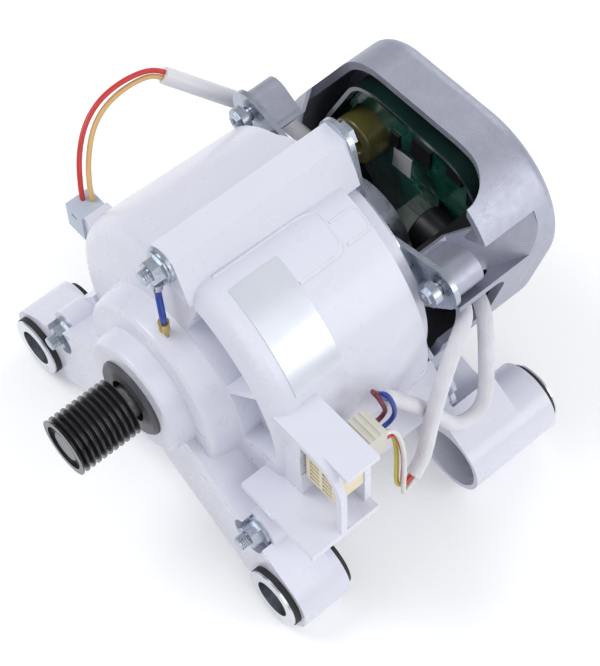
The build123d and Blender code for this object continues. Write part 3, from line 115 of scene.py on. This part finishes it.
def ramp(tree, factor, stops):
    """A colour ramp whose stops are pairs of place and colour."""
    node = tree.nodes.new("ShaderNodeValToRGB")
    elements = node.color_ramp.elements
    while len(elements) < len(stops):
        elements.new(0.5)
    for element, (place, color) in zip(elements, stops):
        element.position = place
        element.color = rgba(color)
    link(tree, factor, node.inputs["Fac"])
    return node.outputs["Color"]


def spread(tree, factor, low, high):
    """Carry the middle range of a noise to the range from low to high."""
    node = tree.nodes.new("ShaderNodeMapRange")
    node.inputs["From Min"].default_value = 0.3
    node.inputs["From Max"].default_value = 0.7
    node.inputs["To Min"].default_value = low
    node.inputs["To Max"].default_value = high
    link(tree, factor, node.inputs["Value"])
    return node.outputs["Result"]


def mix_color(tree, factor, first, second):
    """Blend from the first colour to the second; each is a socket or a plain colour."""
    node = tree.nodes.new("ShaderNodeMix")
    node.data_type = "RGBA"
    node.blend_type = "MIX"
    node.clamp_factor = True
    factor_socket, first_socket, second_socket, result = (
        node.inputs[0], node.inputs[6], node.inputs[7], node.outputs[2])
    link(tree, factor, factor_socket)
    for socket, value in ((first_socket, first), (second_socket, second)):
        if isinstance(value, tuple):
            socket.default_value = rgba(value)
        else:
            link(tree, value, socket)
    return result


def bump(tree, shader, height, distance):
    """Raise the surface by the height socket, up to the distance in metres."""
    node = tree.nodes.new("ShaderNodeBump")
    node.inputs["Distance"].default_value = distance
    node.inputs["Strength"].default_value = 1.0
    link(tree, height, node.inputs["Height"])
    link(tree, node.outputs["Normal"], shader.inputs["Normal"])


# the specks of wear and the patches of gloss against the mottling's own scale
speck_fineness = 7
speck_rarity = -2.2
gloss_fineness = 2.3


def surface(name, color, rough, metal=0.0, mottle=0.08, mottle_scale=60.0, rough_spread=0.05,
            grain=0.00002, grain_scale=2500.0, stretch=(1, 1, 1), coat=0.0, wear=None):
    """A plain material with mottled colour, uneven gloss and a fine grain.

    wear is a pair: the colour of the worn specks and the share of it at their middle.
    """
    made, tree, shader = new_material(name)
    point = object_point(tree, stretch)
    patches = noise(tree, point, mottle_scale)
    low, high = scaled(color, 1 - mottle), scaled(color, 1 + mottle)
    shade = ramp(tree, patches, ((0.3, low), (0.7, high)))
    if wear is not None:
        worn, amount = wear
        specks = noise(tree, point, mottle_scale * speck_fineness, 6.0, 0.7)
        mask = spread(tree, specks, speck_rarity, amount)
        shade = mix_color(tree, mask, shade, worn)
    link(tree, shade, shader.inputs["Base Color"])
    gloss = noise(tree, point, mottle_scale * gloss_fineness)
    uneven = spread(tree, gloss, rough - rough_spread, rough + rough_spread)
    link(tree, uneven, shader.inputs["Roughness"])
    shader.inputs["Metallic"].default_value = metal
    shader.inputs["Coat Weight"].default_value = coat
    shader.inputs["Coat Roughness"].default_value = 0.08
    fine = noise(tree, point, grain_scale, 4.0)
    bump(tree, shader, fine, grain)
    return made


def dress(material, *names):
    for name in names:
        mesh = nodes[name].data
        mesh.materials.clear()
        mesh.materials.append(material)


# Materials of the rigid pieces

white_moulding = surface("white_moulding", (0.74, 0.75, 0.84), 0.30, mottle=0.012, mottle_scale=45,
                         rough_spread=0.05, grain=0.000010, grain_scale=1800, coat=0.2)
lamination = surface("lamination", (0.30, 0.31, 0.33), 0.45, metal=0.8, stretch=(1, 30, 1))
insulator = surface("insulator", (0.72, 0.70, 0.60), 0.5)
copper = surface("copper", (0.62, 0.25, 0.10), 0.3, metal=0.9, grain_scale=900, grain=0.0001)
magnet = surface("magnet", (0.06, 0.06, 0.065), 0.6)
shaft_steel = surface("shaft_steel", (0.20, 0.20, 0.215), 0.36, metal=0.9, mottle=0.2, stretch=(1, 6, 1))
pulley_black = surface("pulley_black", (0.022, 0.022, 0.026), 0.30, metal=0.35, mottle=0.3, coat=0.25)
bearing_steel = surface("bearing_steel", (0.55, 0.56, 0.58), 0.25, metal=1.0)
cap_grey = surface("cap_grey", (0.085, 0.085, 0.095), 0.42, metal=0.4, mottle=0.2)
zinc = surface("zinc", (0.46, 0.50, 0.57), 0.30, metal=0.9, mottle=0.12, mottle_scale=170,
               rough_spread=0.08, grain=0.00001, wear=((0.36, 0.38, 0.42), 0.12))
die_cast = surface("die_cast", (0.43, 0.44, 0.52), 0.46, metal=0.7, mottle=0.05, mottle_scale=260,
                   rough_spread=0.06, grain=0.00009, grain_scale=2300, wear=((0.66, 0.67, 0.75), 0.5))
black_plastic = surface("black_plastic", (0.012, 0.012, 0.014), 0.4, mottle=0.3)
board_metal = surface("board_metal", (0.45, 0.45, 0.47), 0.3, metal=0.9)
film_grey = surface("film_grey", (0.10, 0.14, 0.12), 0.3, coat=0.4)
tray_black = surface("tray_black", (0.008, 0.024, 0.021), 0.16, mottle=0.4, coat=0.6)
contact_brass = surface("contact_brass", (0.60, 0.44, 0.16), 0.3, metal=1.0)
rubber = surface("rubber", (0.016, 0.016, 0.017), 0.62, mottle=0.35, grain=0.00006, grain_scale=1500)
sleeve_steel = surface("sleeve_steel", (0.66, 0.68, 0.72), 0.24, metal=1.0, mottle=0.12,
                       wear=((0.30, 0.30, 0.31), 0.5))
cream = surface("cream", (0.80, 0.72, 0.52), 0.38, mottle=0.03)
ivory = surface("ivory", (0.66, 0.64, 0.56), 0.42, mottle=0.04)
pale_blue = surface("pale_blue", (0.52, 0.58, 0.67), 0.4, mottle=0.04)
label = surface("label", (0.72, 0.75, 0.81), 0.22, metal=0.25, mottle=0.02, grain=0.000004, coat=0.4)
board_green = surface("board_green", (0.012, 0.10, 0.055), 0.3, mottle=0.2, coat=0.3)


# heights in metres where the resin goes from painted shade, deeper in the cup, to its full clouded green
resin_shaded_below, resin_lit_above = -0.018, 0.004


def resin_material():
    """Glossy green resin, clouded, and darker towards the bottom of the tray with painted shade."""
    made, tree, shader = new_material("resin")
    point = object_point(tree)
    parts = tree.nodes.new("ShaderNodeSeparateXYZ")
    link(tree, point, parts.inputs["Vector"])
    height = tree.nodes.new("ShaderNodeMapRange")
    height.inputs["From Min"].default_value = resin_shaded_below
    height.inputs["From Max"].default_value = resin_lit_above
    link(tree, parts.outputs["Z"], height.inputs["Value"])
    clouds = ramp(tree, noise(tree, point, 70.0, 4.0, 0.6), (
        (0.34, (0.004, 0.022, 0.018)), (0.46, (0.008, 0.075, 0.050)),
        (0.60, (0.020, 0.150, 0.105)), (0.72, (0.060, 0.250, 0.190))))
    # painted shade: near-black green for the resin low in the cup
    painted_shade = ramp(tree, noise(tree, point, 110.0, 3.0), (
        (0.35, (0.004, 0.010, 0.012)), (0.70, (0.012, 0.050, 0.042))))
    specks = spread(tree, noise(tree, point, 420.0, 5.0, 0.7), -3.0, 0.55)
    # the height blends the painted shade below into the clouded green above
    shade = mix_color(tree, height.outputs["Result"], painted_shade, clouds)
    shade = mix_color(tree, specks, shade, (0.16, 0.25, 0.20))
    link(tree, shade, shader.inputs["Base Color"])
    link(tree, spread(tree, noise(tree, point, 160.0), 0.06, 0.16), shader.inputs["Roughness"])
    shader.inputs["Coat Weight"].default_value = 0.9
    shader.inputs["Coat Roughness"].default_value = 0.04
    bump(tree, shader, noise(tree, point, 120.0, 2.0), 0.0007)
    return made


resin = resin_material()

dress(white_moulding, "stator_housing")
dress(insulator, "front_insulator", "rear_insulator")
dress(lamination, "stator_core", "rotor_core")
dress(copper, "stator_coils")
dress(magnet, "rotor_magnets")
dress(shaft_steel, "shaft")
dress(pulley_black, "pulley")
dress(bearing_steel, "front_bearing_inner_ring", "front_bearing_outer_ring", "front_bearing_balls",
      "rear_bearing_inner_ring", "rear_bearing_outer_ring", "rear_bearing_balls", "wave_washer")
dress(cap_grey, "bearing_cap")
dress(zinc, "rear_end_plate", "through_bolts", "bolt_washers", "bolt_nuts", "controller_screws",
      "earth_terminal")
dress(die_cast, "controller_housing")
dress(tray_black, "controller_tray")
dress(black_plastic, "lead_header", "sensor_header", "board_chips", "bus_capacitors")
dress(board_green, "controller_board", "sensor_board")
dress(board_metal, "board_screws", "power_module")
dress(resin, "potting_resin")
dress(film_grey, "film_capacitor")
dress(surface("choke_olive", (0.085, 0.075, 0.02), 0.3, mottle=0.3, coat=0.4), "choke")
dress(contact_brass, "phase_pins", "signal_contacts", "earth_spade")
dress(rubber, "bushes_front", "bushes_rear")
dress(sleeve_steel, "sleeves_front", "sleeves_rear")
dress(cream, "signal_connector")
dress(ivory, "lead_plug")
dress(pale_blue, "sensor_plug")
dress(label, "rating_plate")


# Leads: each is a NURBS line through the route's points

def route_curve(name, points, radius, round_steps=8):
    """A round cord along the route; points and radius in mm."""
    data = bpy.data.curves.new(name, "CURVE")
    data.dimensions = "3D"
    line = data.splines.new("NURBS")
    line.points.add(len(points) - 1)
    for control, point in zip(line.points, points):
        control.co = (point[0] * MM, point[1] * MM, point[2] * MM, 1.0)
    line.order_u = 3
    line.use_endpoint_u = True
    line.resolution_u = 12
    data.bevel_depth = radius * MM
    data.bevel_resolution = round_steps
    data.use_fill_caps = True
    made = bpy.data.objects.new(name, data)
    bpy.context.collection.objects.link(made)
    return made


def line_points(points):
    """The points of the route's own NURBS line."""
    bare = route_curve("bare_line", points, 0.0)
    bare.data.use_fill_caps = False
    mesh = bpy.data.meshes.new_from_object(bare)
    found = [vertex.co.copy() for vertex in mesh.vertices]
    bpy.data.meshes.remove(mesh)
    line = bare.data
    bpy.data.objects.remove(bare)
    bpy.data.curves.remove(line)
    return found


def line_length(found):
    return sum((b - a).length for a, b in zip(found, found[1:]))


sheath_radius = 2.8
sleeve_first_points = [
    (36, 130.5, 12), (46.5, 130.5, 12), (56, 125.7, 15.8), (61.3, 115.8, 14), (65.3, 107, 6.7),
    (68.3, 100, -4.8), (70.6, 95.8, -14.5), (72.2, 92.4, -21.5), (73.3, 87, -24),
]
sleeve_second_points = [
    (36, 137.8, 8), (47, 137.8, 8), (56, 133.8, 10.3), (61.3, 130, 4), (65.5, 127, -7),
    (68, 125.4, -15), (69.5, 123.2, -22), (69.7, 119.4, -25.2), (69.1, 114.5, -26),
    (67.9, 110.1, -24), (65, 106, -16.5), (62.8, 100, -7.5), (61.3, 93.2, 2.5), (60.3, 86, 12.5),
]
wire_radius = 0.85
wire_routes = {
    "wire_red": [
        (73.32, 86.41, -23.01), (73.83, 83.91, -24.16), (74.1, 81.9, -22.9), (74.3, 81.4, -18),
        (73.6, 82.6, -8.5), (71.8, 82.8, -1), (69.6, 82.2, 4.8), (69.2, 80, 7.2), (69.2, 77, 7.2),
    ],
    "wire_yellow_green": [
        (72.34, 86.98, -24.67), (72.99, 83.77, -26.16), (72.6, 81.2, -25), (72.2, 80.4, -19.8),
        (71.3, 81.4, -9.8), (69.3, 82.6, -1.6), (67.4, 82, 3.6), (66.8, 80, 5.8), (66.8, 77, 5.8),
    ],
    "wire_white": [
        (74.31, 87.31, -24.52), (75.07, 83.56, -26.25), (75.9, 80.8, -25.2), (76.4, 79.8, -20.2),
        (75.9, 80.6, -10), (74.2, 81.8, -0.5), (71.2, 82, 6.8), (69.4, 80, 10.4), (69.4, 77, 10.4),
    ],
    "wire_maroon": [
        (59.29, 85.98, 12.53), (58.82, 82.6, 17.22), (59.5, 80.8, 21), (60.8, 80, 22.9),
        (62.9, 80.1, 22.5), (63.8, 81, 19), (64, 82.6, 13.2), (63.5, 82.2, 9.8),
        (63.2, 80, 7.9), (63.2, 77, 7.9),
    ],
    "wire_blue": [
        (61.29, 85.88, 12.66), (60.87, 82.85, 16.87), (61.7, 82.5, 20.6), (63.8, 82.8, 22.2),
        (65.9, 83.4, 20.2), (66.9, 84.2, 14), (66.5, 83.2, 9.4), (65.9, 80.2, 7.4), (65.9, 77, 7.4),
    ],
}
tube_radius = 3.2
tube_points = [
    (-36, 141, 1), (-44, 141, 1), (-52, 137.8, 5.5), (-58.5, 130.5, 13), (-64, 122, 20.5),
    (-69.7, 113.7, 27.8), (-75.5, 105.8, 34.5),
]
sensor_radius = 0.95
sensor_routes = {
    "sensor_wire_red": [
        (-75.56, 106.44, 35.46), (-77.3, 104.1, 37.3), (-78.9, 98.2, 38.9), (-79.3, 88.5, 39.8),
        (-78, 79, 39), (-75, 71, 36), (-70, 64.3, 30.8), (-65, 60.2, 25.5), (-62.6, 58.6, 22.3),
        (-62.6, 58.6, 19),
    ],
    "sensor_wire_yellow": [
        (-75.56, 105, 33.67), (-77, 103.1, 35.2), (-78, 98, 36.6), (-77.9, 88.8, 37.4),
        (-76.3, 80, 36.6), (-73.2, 72.8, 33.7), (-68.2, 66.6, 28.6), (-63, 62.4, 24.4),
        (-60, 60.8, 22), (-60, 60.8, 19),
    ],
}

wire_colors = {
    "wire_red": (0.62, 0.035, 0.03),
    "wire_yellow_green": (0.70, 0.60, 0.07),
    "wire_white": (0.74, 0.74, 0.70),
    "wire_maroon": (0.16, 0.015, 0.03),
    "wire_blue": (0.012, 0.045, 0.30),
    "sensor_wire_red": (0.62, 0.035, 0.03),
    "sensor_wire_yellow": (0.78, 0.50, 0.20),
}


def place_cord(made, name, points):
    """Let a route's curve stand for its node."""
    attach(made, "base")
    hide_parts(name)
    line_length(line_points(points))


def braid_material(name, color):
    made, tree, shader = new_material(name)
    point = object_point(tree)
    soil = noise(tree, point, 90.0)
    shade = ramp(tree, soil, ((0.3, scaled(color, 0.86)), (0.7, color)))
    link(tree, shade, shader.inputs["Base Color"])
    shader.inputs["Roughness"].default_value = 0.75
    shader.inputs["Sheen Weight"].default_value = 0.15
    fibre = noise(tree, point, 4200.0, 2.0)
    bump(tree, shader, fibre, 0.00006)
    return made


braid_white = braid_material("braid_white", (0.78, 0.77, 0.82))


# The braid: strands each way, length of one turn, vertices around, rows and depth of the relief
braid_strands = 10
braid_pitch = 4.2 * MM
braid_spokes = 40
braid_row = 0.26 * MM
braid_depth = 0.17 * MM


def braid_reach(radius, angle, phase):
    """Distance of the braid's surface from the centre line at an angle around it."""
    right_hand = cos(braid_strands * angle + phase)
    left_hand = cos(braid_strands * angle - phase)
    over = sin(phase) * 0.5 + 0.5
    height = max(right_hand * over, left_hand * (1 - over))
    return radius * MM - braid_depth * (1 - height) / 2


def braided_tube(name, points, radius, material):
    """A tube along the route whose surface is a braid of crossing strands."""
    found = line_points(points)
    total = line_length(found)
    rows = int(total / braid_row)
    mesh = bpy.data.meshes.new(name)
    shape = bmesh.new()
    side = None
    previous = None
    index, walked = 0, 0.0
    for row in range(rows + 1):
        # the stretch of the line that holds this row
        target = total * row / rows
        piece = found[index + 1] - found[index]
        while index < len(found) - 2 and walked + piece.length < target:
            walked += piece.length
            index += 1
            piece = found[index + 1] - found[index]
        share = min(1.0, (target - walked) / piece.length)
        centre = found[index].lerp(found[index + 1], share)
        before = found[max(0, index - 1)]
        after = found[min(len(found) - 1, index + 2)]
        ahead = (after - before).normalized()
        if side is None:
            side = ahead.cross(Vector((0, 0, 1))).normalized()
        side = (side - ahead * side.dot(ahead)).normalized()
        other = ahead.cross(side)
        phase = 2 * pi * target / braid_pitch
        ring = []
        for spoke in range(braid_spokes):
            angle = 2 * pi * spoke / braid_spokes
            outward = side * cos(angle) + other * sin(angle)
            ring.append(shape.verts.new(centre + outward * braid_reach(radius, angle, phase)))
        if previous:
            for spoke in range(braid_spokes):
                beside = (spoke + 1) % braid_spokes
                shape.faces.new((previous[spoke], previous[beside], ring[beside], ring[spoke]))
        else:
            shape.faces.new(list(reversed(ring)))
        previous = ring
    shape.faces.new(previous)
    shape.normal_update()
    shape.to_mesh(mesh)
    shape.free()
    for face in mesh.polygons:
        face.use_smooth = True
    mesh.materials.append(material)
    made = bpy.data.objects.new(name, mesh)
    bpy.context.collection.objects.link(made)
    return made, found


for piece_name, node_name, points in (
    ("sleeve_first_braid", "lead_sleeve_first", sleeve_first_points),
    ("sleeve_second_braid", "lead_sleeve_second", sleeve_second_points),
):
    made, found = braided_tube(piece_name, points, sheath_radius, braid_white)
    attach(made, "base")
    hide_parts(node_name)


def wire_material(name, color):
    return surface(name, color, 0.34, mottle=0.06, mottle_scale=200, grain=0.00001, coat=0.2)


for node_name, points in (*wire_routes.items(), *sensor_routes.items()):
    radius = sensor_radius if node_name in sensor_routes else wire_radius
    made = route_curve(node_name + "_line", points, radius)
    made.data.materials.append(wire_material(node_name + "_pvc", wire_colors[node_name]))
    place_cord(made, node_name, points)

tube = route_curve("sensor_tube_line", tube_points, tube_radius, 16)
tube.data.materials.append(surface("tube_white", (0.80, 0.80, 0.82), 0.3, mottle=0.03, coat=0.2))
place_cord(tube, "sensor_tube", tube_points)
dress(wire_material("earth_wire_pvc", (0.012, 0.05, 0.33)), "earth_wire")


# Details that stand on the solids

def mesh_piece(name, shape, material):
    """A finished bmesh as a piece of the fixed body."""
    mesh = bpy.data.meshes.new(name)
    shape.normal_update()
    shape.to_mesh(mesh)
    shape.free()
    mesh.materials.append(material)
    made = bpy.data.objects.new(name, mesh)
    bpy.context.collection.objects.link(made)
    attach(made, "base")
    return made


def lathe(shape, profile, centre, steps=40):
    """Turn a profile of (radius, y) in mm about an axis along Y through centre (x, z) in mm."""
    rings = []
    for reach, y in profile:
        ring = []
        for step in range(steps):
            angle = 2 * pi * step / steps
            place = (centre[0] + reach * cos(angle), y, centre[1] + reach * sin(angle))
            ring.append(shape.verts.new(Vector(place) * MM))
        rings.append(ring)
    for first, second in zip(rings, rings[1:]):
        for step in range(steps):
            after = (step + 1) % steps
            shape.faces.new((first[step], first[after], second[after], second[step]))
    shape.faces.new(list(reversed(rings[0])))
    shape.faces.new(rings[-1])


# Thread on the ends of the through bolts: X, Z, tip and root of each end
thread_radius, thread_depth, thread_pitch = 2.5, 0.3, 0.8
thread_lead_in = 0.3
bolt_ends = ((0.0, 60.0, 38.7, 42.3), (-51.96, -30.0, 28.6, 32.2), (51.96, -30.0, 28.6, 32.2))
thread_valley = thread_radius - thread_depth / 2
thread_crest = thread_radius + thread_depth / 2
threads = bmesh.new()
for centre_x, centre_z, tip, root in bolt_ends:
    profile = [(thread_radius - 0.8, tip - 0.05), (thread_radius - 0.3, tip + thread_lead_in)]
    y = tip + thread_lead_in
    while y + thread_pitch < root:
        profile += [(thread_valley, y), (thread_crest, y + thread_pitch / 2)]
        y += thread_pitch
    profile.append((thread_valley, root))
    lathe(threads, profile, (centre_x, centre_z), 32)
mesh_piece("bolt_threads", threads, zinc)


# Hexagon crowns with a dished middle on the controller screws: radius and rise of each edge
screw_circle, screw_turns, screw_flats = 55.0, (30.0, 150.0, 270.0), 6
crown_seat = 115.0
crown_edges = ((0.9, 0.3), (1.7, 1.0), (2.5, 1.35), (2.95, 1.25), (3.2, 0.95), (3.2, -0.1))
crowns = bmesh.new()
for screw_turn in screw_turns:
    centre_x = screw_circle * cos(radians(screw_turn))
    centre_z = screw_circle * sin(radians(screw_turn))
    profile = [(reach, crown_seat - rise) for reach, rise in crown_edges]
    lathe(crowns, profile, (centre_x, centre_z), screw_flats)
mesh_piece("screw_crowns", crowns, zinc)


barrel_front, barrel_length = 49.5, 61.5
barrel_radius, barrel_draft = 55.3, 1.6


def barrel_reach(y):
    """Radius of the drafted barrel at a station, in mm."""
    return barrel_radius - barrel_draft * (y - barrel_front) / barrel_length


# section of a bead, in shares of its width and height
bead_section = ((-0.5, -0.15), (-0.3, 0.75), (0.0, 1.0), (0.3, 0.75), (0.5, -0.15))


def barrel_strip(shape, path, width, height):
    """A low rounded bead on the barrel along a path of (angle in degrees, y in mm)."""
    rows = []
    for index, (turn_angle, y) in enumerate(path):
        before = path[max(0, index - 1)]
        after = path[min(len(path) - 1, index + 1)]
        run_y = after[1] - before[1]
        run_arc = radians(after[0] - before[0]) * barrel_reach(y)
        size = sqrt(run_y ** 2 + run_arc ** 2)
        side_y, side_arc = run_arc / size, -run_y / size
        row = []
        for offset_share, rise in bead_section:
            station_y = y + side_y * offset_share * width
            arc = radians(turn_angle) + side_arc * offset_share * width / barrel_reach(y)
            reach = barrel_reach(station_y) + rise * height
            row.append(shape.verts.new(Vector((reach * cos(arc), station_y, reach * sin(arc))) * MM))
        rows.append(row)
    for first, second in zip(rows, rows[1:]):
        for k in range(len(bead_section) - 1):
            shape.faces.new((first[k], first[k + 1], second[k + 1], second[k]))


def corner_path(points, round_share=0.25, steps=6):
    """The path with each inner corner rounded."""
    found = [points[0]]
    for before, corner, after in zip(points, points[1:], points[2:]):
        start = tuple(c + (b - c) * round_share for b, c in zip(before, corner))
        end = tuple(c + (a - c) * round_share for a, c in zip(after, corner))
        for step in range(steps + 1):
            t = step / steps
            found.append(tuple((1 - t) ** 2 * s + 2 * t * (1 - t) * c + t * t * e
                               for s, c, e in zip(start, corner, end)))
    found.append(points[-1])
    return found


# Frame lines of the label panel: (angle, y) of the corners, then width
panel_lines = (
    ([(79.0, 58.0), (79.0, 99.5), (60.4, 98.8), (60.4, 79.5)], 1.3),
    ([(71.0, 99.8), (71.0, 110.6), (61.5, 110.6), (61.5, 100.4)], 1.0),
)
frame_height = 0.35
frame_lines = bmesh.new()
for corners, width in panel_lines:
    barrel_strip(frame_lines, corner_path(corners), width, frame_height)
panel_frame = mesh_piece("panel_frame", frame_lines, white_moulding)
for face in panel_frame.data.polygons:
    face.use_smooth = True

# Small bare label on the resin: X and Z of its corners
label_corners = ((-9.6, 17.2), (-0.6, 18.0), (-1.1, 7.4), (-10.2, 6.6))
label_front, label_rear = 152.95, 153.25
resin_label = bmesh.new()
front = [resin_label.verts.new(Vector((x, label_front, z)) * MM) for x, z in label_corners]
rear = [resin_label.verts.new(Vector((x, label_rear, z)) * MM) for x, z in label_corners]
resin_label.faces.new(front)
resin_label.faces.new(list(reversed(rear)))
for k in range(len(label_corners)):
    after = (k + 1) % len(label_corners)
    resin_label.faces.new((front[after], front[k], rear[k], rear[after]))
paper = surface("paper", (0.66, 0.68, 0.72), 0.5, mottle=0.03)
mesh_piece("resin_label", resin_label, paper)


# Floor and light

floor_z = cad_box[0][2]
floor_half = 3.0
floor_glow = 0.17


def floor_material():
    made, tree, shader = new_material("pale_floor")
    point = object_point(tree)
    cloudy = noise(tree, point, 3.0)
    shade = ramp(tree, cloudy, ((0.3, (0.97, 0.97, 0.97)), (0.7, (0.99, 0.99, 0.99))))
    link(tree, shade, shader.inputs["Base Color"])
    shader.inputs["Roughness"].default_value = 0.9
    # the floor looks whiter to the camera and in reflections, with no more light on the object
    rays = tree.nodes.new("ShaderNodeLightPath")
    seen = tree.nodes.new("ShaderNodeMath")
    seen.operation = "MAXIMUM"
    link(tree, rays.outputs["Is Camera Ray"], seen.inputs[0])
    link(tree, rays.outputs["Is Glossy Ray"], seen.inputs[1])
    glow = tree.nodes.new("ShaderNodeMath")
    glow.operation = "MULTIPLY"
    glow.inputs[1].default_value = floor_glow
    link(tree, seen.outputs["Value"], glow.inputs[0])
    link(tree, glow.outputs["Value"], shader.inputs["Emission Strength"])
    shader.inputs["Emission Color"].default_value = (1.0, 1.0, 1.0, 1.0)
    return made


floor_shape = bmesh.new()
floor_shape.faces.new([floor_shape.verts.new((x * floor_half, y * floor_half, floor_z))
                       for x, y in ((-1, -1), (1, -1), (1, 1), (-1, 1))])
floor_mesh = bpy.data.meshes.new("floor")
floor_shape.to_mesh(floor_mesh)
floor_shape.free()
floor_mesh.materials.append(floor_material())
floor = bpy.data.objects.new("floor", floor_mesh)
bpy.context.collection.objects.link(floor)


def area_light(name, place, target, size, power):
    """A round lamp at a place in metres, turned to the target; power in watts."""
    data = bpy.data.lights.new(name, "AREA")
    data.shape = "DISK"
    data.size = size
    data.energy = power
    lamp = bpy.data.objects.new(name, data)
    lamp.location = place
    lamp.rotation_euler = (Vector(target) - Vector(place)).to_track_quat("-Z", "Y").to_euler()
    bpy.context.collection.objects.link(lamp)


lit_point = (0.0, 0.085, 0.0)
area_light("key", (-0.55, -0.35, 0.95), lit_point, 0.7, 5.2)
area_light("fill", (0.75, 0.05, 0.75), lit_point, 0.9, 2.6)
area_light("back", (-0.35, 0.95, 0.55), lit_point, 0.6, 1.6)
area_light("side", (0.85, 0.65, 0.35), lit_point, 0.6, 2.6)

world = bpy.data.worlds.new("world")
bpy.context.scene.world = world
world.use_nodes = True
background = next(n for n in world.node_tree.nodes if n.type == "BACKGROUND")
background.inputs["Color"].default_value = (0.93, 0.95, 1.0, 1.0)
background.inputs["Strength"].default_value = 0.5
bpy.context.scene.view_settings.view_transform = "Standard"
